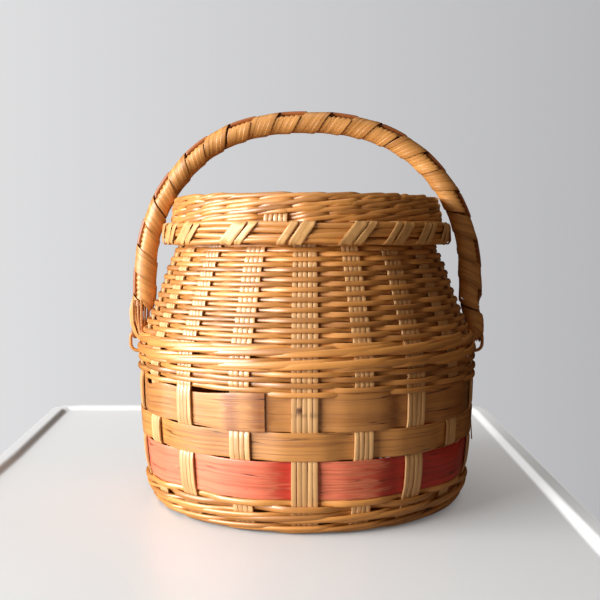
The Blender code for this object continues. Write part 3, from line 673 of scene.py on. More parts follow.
class BASKET_OT_stakes(bpy.types.Operator):
    """Groups of upright reeds, side by side, from the foot to the rim"""
    bl_idname = "basket.stakes"
    bl_label = "Upright reeds"

    def execute(self, context):
        weave_settings = context.scene.basket_weave
        colours = context.scene.basket_colours
        rng = random_for("stakes")
        strands = Strands()
        height = np.concatenate([np.linspace(0.0042, 0.1010, 26), np.linspace(0.1022, 0.1210, 17),
                                 np.linspace(0.1240, 0.1370, 5),
                                 np.linspace(0.1380, RIM_TOP - 0.0004, 68)])
        for index in range(STAKES):
            reeds = REED_COUNTS.get(index, 4)
            size = weave_settings.reed_width * REED_WIDTHS.get(index, rng.uniform(0.94, 1.04))
            for reed in range(reeds):
                place = reed - (reeds - 1) / 2
                spread = 1.0 - 0.10 * smooth((height - 0.14) / 0.08)
                along = height / 0.09
                sway = wander(rng, along, 1.6, 0.00022)
                spot, out, _ = wall_frame(np.full_like(height, float(stake_angle(index))), height)
                turn = math.radians(float(stake_angle(index)))
                across = np.array([math.cos(turn), math.sin(turn), 0.0])
                shift = place * size * spread + sway
                radius = np.linalg.norm(spot[:, :2], axis=1)
                fall = radius - np.sqrt(np.maximum(radius ** 2 - shift ** 2, 0))
                lean = stake_offset(index, height) + wander(rng, along, 1.1, 0.0001)
                lean = lean + reed_wave(index, height, weave_settings.row_rise)
                points = spot + across * shift[:, None] + out * (lean - fall)[:, None]
                wide = size / 2 * 1.0 * spread * (1 + wander(rng, along, 0.8, 0.02))
                knot = np.zeros_like(height)
                if index == 0:
                    knot += (0.9 if reed == 1 else 0.1) * np.exp(-((height - 0.0935) / 0.0016) ** 2)
                    knot += 0.45 * np.exp(-((height - 0.0895) / 0.0022) ** 2)
                strands.add(points, out, wide, 0.0009,
                            tone=np.clip(rng.uniform(0.3, 0.9) + wander(rng, along, 1.0, 0.15),
                                         0, 1), mark=knot,
                            start=rng.uniform(0, 9))
        nodes = [f"stake_{i + 1:02d}" for i in range(STAKES)]
        reed_cane = cane("reed_cane", colours.reed, darker(colours.reed, 0.62), 0.30, 0.5,
                         1.0, 0.3, 0.95)
        weave("upright_reeds", strands, reed_cane, "basket", nodes, sides=10,
              square=0.55)
        return {"FINISHED"}


class BASKET_OT_rows(bpy.types.Operator):
    """Rows above the splints: plain rows, thick shoulder rods and the climbing neck weavers"""
    bl_idname = "basket.rows"
    bl_label = "Woven rows"

    def execute(self, context):
        size = context.scene.basket_weave
        colours = context.scene.basket_colours
        tan = cane("weaver_cane", colours.weaver, darker(colours.weaver, 0.5), 0.22, 0.6,
                   1.0, 0.2, 0.95)
        half_wide = size.weaver_height / 2
        half_thick = size.weaver_depth / 2
        out = 0.00085 + half_thick
        rng = random_for("lower")
        strands = Strands()
        for row in range(5):
            plain_row(strands, rng, 6 + row, 26.1 + row, LOWER_LOW + row * LOWER_RISE, 0.0, row % 2,
                      half_wide, half_thick, out, out, lift=0.0003)
        plain_row(strands, rng, -0.98, 5.02, 0.1040, -0.0030, 1, half_wide, half_thick, out,
                  out, lift=0.0002)
        weave("lower_rows", strands, tan, "basket", ("lower_row_1", "lower_row_2"),
              square=0.78)

        rng = random_for("shoulder")
        strands = Strands()
        waled_rows(strands, rng, 9, 2, 0.1252, 0.0088, 0.0026, 0.0015, 0.0026, 0.0022, 0.0023)
        glossy = cane("shoulder_cane", shade(colours.weaver, 1.05), darker(colours.weaver, 0.55),
                      0.18, 0.5, 1.0, 0.15, 1.0)
        weave("shoulder_rods", strands, glossy, "basket",
              ("shoulder_rod_lower", "shoulder_rod_upper"), sides=12, square=0.82)

        for label, first, phase in (("a", -12, 0), ("b", -1, 1)):
            rng = random_for("neck" + label)
            strands = Strands()
            low = NECK_LOW - size.row_rise * (1.7 if label == "a" else 1.6)
            turns = 12.35
            plain_row(strands, rng, first, first + turns * STAKES, low, 2 * size.row_rise,
                      phase, half_wide, half_thick, out, out)
            weave(f"neck_rows_{label}", strands, tan, "basket",
                  [f"neck_weaver_{label}_{i}" for i in (1, 2, 3)], square=0.78)
        return {"FINISHED"}


class BASKET_OT_foot(bpy.types.Operator):
    """Three rope-like rows round the foot"""
    bl_idname = "basket.foot"
    bl_label = "Foot rows"

    def execute(self, context):
        colours = context.scene.basket_colours
        rng = random_for("foot")
        strands = Strands()
        waled_rows(strands, rng, 8, 2, 0.0046, 0.0088, 0.0024, 0.0016, 0.0025, 0.0025, 0.0023)
        for row in range(2):
            plain_row(strands, rng, 9 + row, 29.1 + row, 0.0206 + row * 0.0037, 0.0, 1 - row,
                      0.0023, 0.0015, 0.0026, 0.0024, lift=0.0004)
        foot = cane("foot_cane", shade(colours.weaver, 1.0), darker(colours.weaver, 0.5),
                    0.25, 0.6, 1.0, 0.25, 0.9)
        weave("foot_rows", strands, foot, "basket", [f"foot_row_{i}" for i in (1, 2, 3)],
              square=0.92)
        return {"FINISHED"}


def splint_band(strands, rng, low, high, front, thick, seam, overlap=0.46, stains_and_shade=(), dips=(),
                tone=(0.3, 0.7)):
    """A wide splint round the wall; its ends overlap at the seam, the last end outside.

    The marks and dips are (angle, half width in degrees, strength); a mark darkens the splint, as real spots
    and, on the right side of the red and weathered splints, as painted shade; a dip lowers the top edge.
    """
    count = np.linspace(seam, seam + STAKES + overlap, int((STAKES + overlap) * 14))
    angles = angle_at(count)

    def humps(places):
        total = np.zeros_like(count)
        for where, wide, strong in places:
            gap = (angles - where + 180) % 360 - 180
            total = np.maximum(total, strong * np.exp(-np.abs(gap / wide) ** 2))
        return total

    top = high - humps(dips) + wander(rng, count, 7.0, 0.0003)
    bottom = low + wander(rng, count, 9.0, 0.0003)
    spot, out, _ = wall_frame(angles, (top + bottom) / 2)
    shift = swing(count, front, 2, 0.0013, 0.0013, 0.25)
    shift = shift + wander(rng, count, 3.1, 0.0002)
    rest = seam + STAKES
    shift = shift + np.where(count > rest - 0.4, smooth((count - rest + 0.4) / 0.3) * thick * 1.3, 0)
    strands.add(spot + out * shift[:, None], out, (top - bottom) / 2, thick / 2,
                tone=np.clip(rng.uniform(*tone) + wander(rng, count, 5.0, 0.25), 0, 1),
                mark=humps(stains_and_shade), start=rng.uniform(0, 9))


class BASKET_OT_splints(bpy.types.Operator):
    """The wide red, golden and weathered splints"""
    bl_idname = "basket.splints"
    bl_label = "Wide splints"

    def execute(self, context):
        colours = context.scene.basket_colours
        thick = context.scene.basket_weave.splint_thickness
        for name, cad, slot, low, high, front, seam, colour, stain_and_shade, stains_and_shade, dips in (
                # red band marks: (-6, 6, 0.7) is a real crimson spot; (62, 38, 1.9) and (180, 80, 1.5) make
                # the red deeper and darker over the right side and round the back, painted shade of the side
                # away from the window
                ("red_band", "red_splint", "red_splint", RED_LOW - 0.0006, RED_HIGH + 0.0004, 0,
                 8.4, colours.red, (0.70, 0.07, 0.02), ((62, 38, 1.9), (-6, 6, 0.7),
                                                           (180, 80, 1.5)), ()),
                ("golden_band", "middle_splint", "golden_splint", MID_LOW, MID_HIGH + 0.0004, 1,
                 11.6, colours.gold, (0.5, 0.4, 0.3), ((-58, 5, 0.3), (12, 6, 0.25)), ()),
                # weathered band marks: the narrow ones are real greyish spots; (60, 22, 0.6) darkens the
                # whole right side, painted shade
                ("weathered_band", "top_splint", "grey_splint", TOP_LOW, TOP_HIGH + 0.0022, 0,
                 -1.05, colours.grey, (0.62, 0.46, 0.31),
                 ((-23.0, 3.0, 0.8), (-14.0, 4.0, 0.8), (27.0, 2.4, 0.7), (60.0, 22.0, 0.6)),
                 ((-36, 11, 0.0036), (-62, 6, 0.0040), (60, 5, 0.003)))):
            rng = random_for(name)
            strands = Strands()
            splint_band(strands, rng, low, high, front, thick, seam, stains_and_shade=stains_and_shade, dips=dips)
            if name == "golden_band":       # a splinter stands off at the right
                spot, away, _ = wall_frame(np.full(8, 83.0), np.linspace(0.064, 0.046, 8))
                strands.add(spot + away * np.linspace(0.0018, 0.0042, 8)[:, None], away, 0.0007,
                            0.0005, tone=0.1)
            dark = darker(colour, 0.66)
            if name == "red_band":
                dark = (0.70, 0.115, 0.06)
            gloss = 0.5 if name == "red_band" else 0.85
            wood = cane(name + "_wood", colour, dark, 0.7, 0.4, 0.34, 0.5, gloss,
                        cracks=0.9, stain_and_shade=stain_and_shade)
            weave(name, strands, wood, "basket", (cad,), sides=20, square=0.35,
                  roughen=0.012)
        return {"FINISHED"}


def mat_rows(strands, rng, inner, outer, level, pitch, wide, thick, out, phase, spacing):
    """Two chased weavers that spiral out between the spokes of a flat mat."""
    turns = (outer - inner) / pitch
    for chase in range(2):
        count = np.arange(0, turns * STAKES, 1 / 9)
        radius = inner + pitch * count / STAKES + chase * pitch / 2
        keep = radius < outer
        count, radius = count[keep], radius[keep]
        angle = np.radians(angle_at(count + phase))
        lift = swing(count, chase, 2, out, out, 0.24)
        level_here = level(radius) + lift
        points = np.stack([np.sin(angle) * radius, -np.cos(angle) * radius, level_here], 1)
        up = np.tile([0.0, 0.0, 1.0], (len(points), 1))
        strands.add(points, up, wide * (1 + wander(rng, count, 5, 0.05)), thick,
                    tone=np.clip(rng.uniform(0.3, 0.7) + wander(rng, count, 11, 0.3), 0, 1),
                    start=rng.uniform(0, 9))


def mat_spokes(strands, rng, edge, level, middle, reed, phase, drop=None):
    """Groups of reeds that cross in the middle of a mat and fan out to every stake."""
    for axis in range(2):
        for group in range(5):
            place = group - 2
            for reed_index in range(4):
                across = place * (4 * reed + 0.0012) + (reed_index - 1.5) * reed
                ends = []
                for end in (-1, 1):
                    if axis == 0:
                        stake = 5 - place if end > 0 else 15 + place
                    else:
                        stake = place if end < 0 else 10 - place
                    turn = math.radians(float(angle_at(stake + phase)))
                    away = np.array([math.sin(turn), -math.cos(turn)])
                    side = np.array([math.cos(turn), math.sin(turn)])
                    flip = (1 if axis == 0 else -1) * end
                    shift = (reed_index - 1.5) * reed * 0.9
                    if axis == 0:
                        shift = shift * (1 if end > 0 else -1)
                    else:
                        shift = shift * (1 if end < 0 else -1)
                    ends.append((away, side, shift))
                line = []
                span = np.linspace(-1, 1, 60)
                for value in span:
                    end = 1 if value > 0 else 0
                    away, side, shift = ends[end]
                    reach = abs(value) * edge
                    straight = np.array([value * edge, across]) if axis == 0 else \
                        np.array([across, value * edge])
                    fan = away * reach + side * shift
                    share = float(smooth(np.array((reach - middle) / (edge * 0.45))))
                    line.append(straight * (1 - share) + fan * share)
                line = np.array(line)
                reach = np.linalg.norm(line, axis=1)
                cross = line[:, 0] if axis == 0 else line[:, 1]
                weave_count = cross / (4 * reed + 0.0012)
                over = np.cos(np.pi * (weave_count + place + axis)) * 0.0012
                inside = 1 - smooth((np.abs(cross) - middle) / 0.01)
                height = level(reach) + over * inside
                points = np.column_stack([line, height])
                up = np.tile([0.0, 0.0, 1.0], (len(points), 1))
                strands.add(points, up, reed / 2 * 0.98, 0.0009,
                            tone=rng.uniform(0.2, 0.8), start=rng.uniform(0, 9))


class BASKET_OT_base(bpy.types.Operator):
    """The woven base mat under the basket"""
    bl_idname = "basket.base"
    bl_label = "Base mat"

    def execute(self, context):
        colours = context.scene.basket_colours
        rng = random_for("base")
        strands = Strands()
        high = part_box("base_mat")[1].z
        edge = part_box("base_mat")[1].x + 0.003

        def level(radius):
            return np.full_like(radius, high * 0.62)

        mat_spokes(strands, rng, edge, level, 0.036, 0.0034, 0)
        mat_rows(strands, rng, 0.046, edge - 0.0005, level, 0.0078, 0.0018, 0.0010, 0.0019,
                 0, STAKES)
        base = cane("base_cane", shade(colours.weaver, 0.8), darker(colours.weaver, 0.4),
                    0.3, 0.7, 1.0, 0.3, 0.35)
        weave("base_mat_weave", strands, base, "basket", ("base_mat",), sides=8)
        return {"FINISHED"}


class BASKET_OT_rim(bpy.types.Operator):
    """Rim hoops round the stake ends"""
    bl_idname = "basket.rim"
    bl_label = "Rim"

    def execute(self, context):
        colours = context.scene.basket_colours
        for name, cad in (("rim_outer", "rim_hoop_outer"), ("rim_inner", "rim_hoop_inner")):
            low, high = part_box(cad)
            rng = random_for(name)
            strands = Strands()
            turn = np.linspace(0, math.tau, 240, endpoint=False)
            radius = high.x - 0.0015 if cad.endswith("outer") else high.x - 0.0016
            level = (low.z + high.z) / 2
            away = np.stack([np.sin(turn), -np.cos(turn), np.zeros_like(turn)], 1)
            points = away * radius
            points[:, 2] = level
            strands.add(points, away, 0.0018, 0.00145, tone=0.5 + 0.2 * np.sin(turn * 2),
                        closed=True)
            wood = cane("rim_cane", colours.weaver, darker(colours.weaver, 0.5), 0.22, 0.6,
                        1.0, 0.2, 0.5)
            weave(name, strands, wood, "basket", (cad,), sides=12)
        return {"FINISHED"}


class BASKET_OT_rings(bpy.types.Operator):
    """Cane rings through the wall that hold the handle's feet"""
    bl_idname = "basket.rings"
    bl_label = "Hinge rings"

    def execute(self, context):
        colours = context.scene.basket_colours
        dark = cane("ring_cane", shade(colours.weaver, 0.85), darker(colours.weaver, 0.42),
                    0.25, 0.5, 1.0, 0.2, 0.5)
        for side, name in ((-1, "left"), (1, "right")):
            cad = "hinge_ring_" + name
            low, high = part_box(cad)
            rng = random_for(name)
            inner, outer = sorted((abs(low.x), abs(high.x)))
            rod = 0.0014
            inner, outer = inner + rod, outer - rod
            bottom, top = low.z + rod, high.z - rod
            middle = ((inner + outer) / 2, (bottom + top) / 2)
            half = ((outer - inner) / 2, (top - bottom) / 2)
            strands = Strands()
            turn = np.linspace(0, math.tau, 90, endpoint=False)
            power = 0.62
            loop_x = middle[0] + half[0] * np.sign(np.cos(turn)) * np.abs(np.cos(turn)) ** power
            loop_z = middle[1] + half[1] * np.sign(np.sin(turn)) * np.abs(np.sin(turn)) ** power
            points = np.stack([side * loop_x, np.zeros_like(turn), loop_z], 1)
            out = unit(points - np.array([side * middle[0], 0.0, middle[1]]))
            strands.add(points, out, 0.0015, 0.0014, tone=rng.uniform(0.4, 0.8), closed=True)
            weave(f"ring_{name}", strands, dark, "basket", (cad,), sides=8)
        return {"FINISHED"}


# ---------------------------------------------------------------- lid pieces
LID_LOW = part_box("lid_row_1")[0].z
LID_WALL = (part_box("lid_border_rod_upper")[1].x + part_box("lid_border_rod_upper")[0].x) / 2
LID_TURN = -0.57
LID_RADIUS = 0.1092
LID_ROW = 0.0053
LID_STEPS = 28                  # steps of the rope-like rows in one turn
LID_WINDOW = (-10.9, 8.0)       # the lowest row passes behind the reeds here


def lid_points(first, last, height, offset, per_stake=9):
    count = np.linspace(first, last, max(int(round((last - first) * per_stake)), 4) + 1)
    level = height(count)
    where = angle_at(count * STAKES / LID_STEPS + LID_TURN)
    gap = (where - LID_WINDOW[0] + 180) % 360 - 180
    share = np.clip((level - LID_LOW) / (CROWN_TOP - LID_LOW), 0, 1)
    window = np.exp(-(gap / LID_WINDOW[1]) ** 6) * smooth((0.30 - share) / 0.12)
    angle = np.radians(where)
    away = np.stack([np.sin(angle), -np.cos(angle), np.zeros_like(angle)], 1)
    radius = LID_RADIUS - 0.0022 * share - 0.004 * share ** 6
    lean = 0.10 + 0.9 * share ** 5
    out = unit(away + np.array([0, 0, 1.0]) * lean[:, None])
    points = away * radius[:, None]
    points[:, 2] = level
    shift = offset(count) * (1 - window) - 0.0026 * window
    return count, points + out * shift[:, None], out


class BASKET_OT_lid_wall(bpy.types.Operator):
    """The lid's upright wall: rope-like rows"""
    bl_idname = "basket.lid_wall"
    bl_label = "Lid wall"

    def execute(self, context):
        colours = context.scene.basket_colours
        rng = random_for("lid")
        strands = Strands()
        waled_rows(strands, rng, 11, 3, LID_LOW + 0.0022, LID_ROW, 0.0019, 0.0014, 0.0026, 0.0021,
                   0.0027, reach=lid_points, steps=LID_STEPS, uneven=0.0006, lumps=0.13,
                   lengths=(6, 17), loose=0.5)
        tan = cane("lid_cane", colours.weaver, darker(colours.weaver, 0.5), 0.22, 0.6, 1.0,
                   0.2, 0.9)
        weave("lid_wall_rows", strands, tan, "lid", ("lid_row_1", "lid_row_2", "lid_row_3"),
              sides=10, square=0.92)
        rng = random_for("lid edge")
        strands = Strands()
        waled_rows(strands, rng, 4, 1, LID_LOW + 0.0015 + 3 * LID_ROW, 0.0, 0.0019, 0.0015,
                   0.0023, 0.0021, 0.0013, reach=lid_points, steps=LID_STEPS, uneven=0.0005,
                   lumps=0.12, lengths=(9, 22), loose=0.4)
        weave("lid_edge_rows", strands, tan, "lid", ("lid_edge_row",), sides=10,
              square=0.92)
        return {"FINISHED"}


class BASKET_OT_lid_crown(bpy.types.Operator):
    """The lid's reeds and its woven crown"""
    bl_idname = "basket.lid_crown"
    bl_label = "Lid crown"

    def execute(self, context):
        colours = context.scene.basket_colours
        rng = random_for("crown")
        edge = LID_RADIUS - 0.0040
        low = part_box("lid_crown")[0].z

        def level(radius):
            return low - 0.0002 + 0.0032 * (1 - (radius / edge) ** 2)

        strands = Strands()
        mat_spokes(strands, rng, edge, level, 0.036, 0.0034, LID_TURN)
        reed_cane = cane("reed_cane", colours.reed, darker(colours.reed, 0.62), 0.30, 0.5,
                         1.0, 0.3, 0.95)
        height = np.linspace(BORDER_LOW + 0.003, low, 30)
        for index in range(STAKES):
            turn = math.radians(float(angle_at(index + LID_TURN)))
            away = np.array([math.sin(turn), -math.cos(turn), 0.0])
            across = np.array([math.cos(turn), math.sin(turn), 0.0])
            reeds = 5 if index == 0 else 4
            for reed in range(reeds):
                place = (reed - (reeds - 1) / 2) * 0.0036
                bend = smooth((height - low + 0.004) / 0.006)
                radius = LID_RADIUS - 0.0022 * (height - LID_LOW) / (low - LID_LOW) - bend * 0.004
                if index == 0:
                    radius = radius + 0.0014 * np.exp(-((height - LID_LOW - 0.001) / 0.004) ** 2)
                else:
                    radius = radius - 0.0026
                points = away * radius[:, None] + across * place
                points[:, 2] = height
                strands.add(points, np.tile(away, (len(points), 1)), 0.00176, 0.0010,
                            tone=rng.uniform(0.2, 0.9), start=rng.uniform(0, 9))
        weave("lid_reeds", strands, reed_cane, "lid", ("lid_frame",), sides=8,
              square=0.8)
        strands = Strands()
        mat_rows(strands, rng, 0.046, edge - 0.001, level, 0.0078, 0.0018, 0.0010, 0.0019,
                 LID_TURN, STAKES)
        tan = cane("lid_cane", colours.weaver, darker(colours.weaver, 0.5), 0.22, 0.6, 1.0,
                   0.2, 0.9)
        weave("lid_crown_rows", strands, tan, "lid", ("lid_crown",), sides=8)
        return {"FINISHED"}


class BASKET_OT_lid_border(bpy.types.Operator):
    """The bundle of rods round the lid's border and the splint lashed round it"""
    bl_idname = "basket.lid_border"
    bl_label = "Lid border"

    def execute(self, context):
        colours = context.scene.basket_colours
        inner = 0.1092
        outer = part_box("lid_lashing")[1].x - 0.0004
        tan = cane("lid_cane", colours.weaver, darker(colours.weaver, 0.5), 0.22, 0.6, 1.0,
                   0.2, 0.9)
        for half, name, cad in ((0, "border_rods_lower", "lid_border_rod_lower"),
                                (1, "border_rods_upper", "lid_border_rod_upper")):
            rng = random_for(name)
            strands = Strands()
            turn = np.linspace(0, math.tau, 300, endpoint=False)
            base = BORDER_LOW + 0.0030 + half * 0.0078
            for place, (radius, level, wide) in enumerate((
                    (outer - 0.0026, base, 0.0023), (outer - 0.0024, base + 0.0040, 0.0022),
                    (inner + 0.0024, base + 0.0002, 0.0020),
                    (inner + 0.0022, base + 0.0041, 0.0019))):
                away = np.stack([np.sin(turn), -np.cos(turn), np.zeros_like(turn)], 1)
                phase = rng.uniform(0, math.tau)
                swell = np.cos(turn * 4 + phase) * 0.0006
                points = away * (radius + swell)[:, None]
                points[:, 2] = level + np.sin(turn * 4 + phase) * 0.0011
                full = 1 + 0.08 * np.sin(turn * 7 + phase)
                strands.add(points, away, wide * full, wide * 0.9,
                            tone=np.clip(rng.uniform(0.3, 0.8) + 0.15 * np.sin(turn * 4 + phase),
                                         0, 1), closed=True, start=rng.uniform(0, 9))
            weave(name, strands, tan, "lid", (cad,), sides=12)
        rng = random_for("lashing")
        strands = Strands()
        centre_r = (inner + outer) / 2 + 0.0001
        centre_z = (BORDER_LOW + BORDER_HIGH) / 2
        half_r = (outer - inner) / 2 + 0.0006
        half_z = (BORDER_HIGH - BORDER_LOW) / 2 - 0.0004
        turn = np.linspace(0, math.tau, 96, endpoint=False)
        flat = (np.sign(np.cos(turn)) * np.abs(np.cos(turn)) ** 0.5,
                np.sign(np.sin(turn)) * np.abs(np.sin(turn)) ** 0.5)
        for index, middle in enumerate(LASH_ANGLES):
            left = rng.choice((0.0042, 0.0046, 0.0026))
            lean = rng.uniform(0.0056, 0.0084)
            for start, wide in ((-0.0075, left), (-0.0075 + 2 * left + 0.0012, 0.0070 - left)):
                loop_r, loop_z = centre_r + half_r * flat[0], centre_z + half_z * flat[1]
                slant = np.where(flat[0] > 0, flat[1], flat[1] * 0.5)
                shift = slant * lean + (start + wide) * 1.25
                angle = np.radians(middle) + (shift + rng.uniform(-0.0003, 0.0003)) / loop_r
                away = np.stack([np.sin(angle), -np.cos(angle), np.zeros_like(angle)], 1)
                points = away * loop_r[:, None]
                points[:, 2] = loop_z
                near = away * (flat[0] ** 3 / half_r)[:, None]
                near[:, 2] = flat[1] ** 3 / half_z
                strands.add(points, unit(near), wide, 0.0004, tone=rng.uniform(0.5, 0.95),
                            closed=True, start=rng.uniform(0, 9))
        splint = cane("lashing_splint", colours.lashing, darker(colours.lashing, 0.62), 0.55,
                      0.3, 0.7, 0.35, 0.5)
        weave("lid_lashing_splints", strands, splint, "lid", ("lid_lashing",),
              sides=10, square=0.5, roughen=0.02)
        return {"FINISHED"}


LASH_ANGLES = (-50, -25.5, -4, 18, 35, 50, 67, 86, 104, 122, 140, 158, 176, 194, 212, 230,
               248, 265, 282, 296)


# ---------------------------------------------------------------- handle pieces
FOOT_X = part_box("handle_loop_rod")[1].x - 0.0027
ARCH_LEG = 0.0290
ARCH_POWER = 2.3
ARCH_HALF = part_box("handle_outer_rod")[1].x - 0.0068
ARCH_MID_TOP = ARCH_TOP - 0.0093


def arch_line(count):
    """Evenly spaced (points, ahead, outward) along the middle of the handle, foot to foot."""
    spring = PIVOT + ARCH_LEG
    rise = ARCH_MID_TOP - spring
    bow = math.pi * rise
    total = 2 * ARCH_LEG + bow
    along = np.linspace(0, total, count * 8)
    near = np.minimum(along, total - along)
    part = np.clip(near / ARCH_LEG, 0, 1)
    ease = part * part * (3 - 2 * part)
    leg_x = FOOT_X + (ARCH_HALF - FOOT_X) * ease
    angle = np.clip(math.pi * (near - ARCH_LEG) / bow, 0, math.pi / 2)
    power = 2 / ARCH_POWER
    x = np.where(near < ARCH_LEG, leg_x, ARCH_HALF * np.cos(angle) ** power)
    z = np.where(near < ARCH_LEG, PIVOT + near, spring + rise * np.sin(angle) ** power)
    lean = smooth((z - PIVOT - 0.006) / 0.026) * smooth((ARCH_MID_TOP + 0.004 - z) / 0.050)
    x = np.where(along < total / 2, -x + 0.0038 * lean, x - 0.0018 * lean)
    points = np.stack([x, np.zeros_like(x), z], 1)
    steps = np.linalg.norm(np.diff(points, axis=0), axis=1)
    length = np.concatenate([[0], np.cumsum(steps)])
    even = np.linspace(0, length[-1], count)
    points = np.stack([np.interp(even, length, points[:, i]) for i in range(3)], 1)
    ahead = unit(np.gradient(points, axis=0))
    outward = np.stack([-ahead[:, 2], np.zeros(count), ahead[:, 0]], 1)
    return points, ahead, outward, even


class BASKET_OT_handle_core(bpy.types.Operator):
    """The dark rods inside the handle; two of them run round the rings"""
    bl_idname = "basket.handle_core"
    bl_label = "Handle core"

    def execute(self, context):
        colours = context.scene.basket_colours
        core = cane("core_cane", colours.core, darker(colours.core, 0.5), 0.35, 0.6, 1.0,
                    0.3, 0.45)
        points, ahead, outward, even = arch_line(260)
        side = np.tile([0.0, 1.0, 0.0], (len(points), 1))
        eye = 0.0050
        above = np.clip((points[:, 2] - PIVOT) / 0.012, 0, 1)
        spread = eye + (0.0041 - eye) * above
        rng = random_for("core")
        strands = Strands()
        arc = np.radians(np.linspace(12, 168, 9))
        right = np.stack([np.full(9, FOOT_X), -eye * np.cos(arc), PIVOT - eye * np.sin(arc)], 1)
        left = right[::-1] * [-1, 1, 1]
        loop = np.concatenate([points - side * spread[:, None], right,
                               points[::-1] + side * spread[::-1][:, None], left])
        heart = np.array([0.0, 0.0, 0.0])
        out = np.concatenate([outward, np.tile([1.0, 0, 0], (9, 1)), outward[::-1],
                              np.tile([-1.0, 0, 0], (9, 1))])
        strands.add(loop, out, 0.0024, 0.0024, tone=0.5, closed=True)
        weave("handle_loop", strands, core, "handle", ("handle_loop_rod",),
              sides=12)
        strands = Strands()
        for number, out_by in enumerate((-0.0046, -0.0023)):
            keep = points[:, 2] > PIVOT + 0.0195 + 0.004 * number
            strands.add(points[keep] + outward[keep] * out_by, outward[keep], 0.0019, 0.0019,
                        tone=rng.uniform(0.3, 0.7), start=rng.uniform(0, 9))
        weave("handle_inner_rods", strands, core, "handle", ("handle_inner_rod",),
              sides=10)
        strands = Strands()
        share = np.linspace(0, 1, 16)
        for rod in range(6):
            across = rod / 5
            front = -0.0082 + 0.0040 * (across - 0.45) ** 2 * 4
            ease = smooth(share * 1.5)
            line = np.stack([-0.1408 + 0.0030 * across + (-0.0058 + 0.0098 * across) * ease,
                             np.full(16, front), PIVOT - 0.0070 + 0.0330 * share], 1)
            strands.add(line, np.tile([0.0, -1.0, 0.0], (16, 1)), 0.00125, 0.0016,
                        tone=(0.15, 0.9, 0.4, 0.75, 0.2, 0.6)[rod], start=rng.uniform(0, 9))
        bare = cane("foot_rod_cane", shade(colours.weaver, 0.92), darker(colours.weaver, 0.30),
                    0.5, 0.5, 1.0, 0.3, 0.6)
        weave("handle_foot_rods", strands, bare, "handle", (), sides=10)
        points, ahead, outward, even = arch_line(900)
        keep = points[:, 2] > PIVOT + 0.0200
        bare = wrap_bare(even - even[keep][0], wrap_pitch(context))
        strands = Strands()
        ends = (0.35 + 0.65 * smooth((points[:, 2] - PIVOT - 0.020) / 0.012))[keep]
        strands.add((points + outward * (0.0062 + 0.0013 * bare)[:, None])[keep] -
                    outward[keep] * (1 - ends)[:, None] * 0.004, outward[keep],
                    0.0024 * ends, 0.0019 * ends, tone=0.75, start=rng.uniform(0, 9))
        weave("handle_outer_rods", strands, core, "handle", ("handle_outer_rod",),
              sides=12)
        return {"FINISHED"}


WRAP_START = 0.0205             # the left end of the wrap, above the pivot
WRAP_SLANT = 0.0019             # how far a band runs ahead from the inner side to the outer


def wrap_pitch(context):
    """Length along the handle that one turn of the wrap takes."""
    points, _, _, even = arch_line(900)
    keep = points[:, 2] > PIVOT + WRAP_START
    return (even[keep][-1] - even[keep][0]) / context.scene.basket_weave.wrap_turns


def wrap_bare(where, pitch):
    """1 where the outer rod lies bare on the wrap, 0 where a turn covers it."""
    turn = (where - WRAP_SLANT) / pitch + 0.095
    off = np.abs(np.mod(turn, 2.0) - 1.0)
    return smooth((0.53 - off) / 0.08)


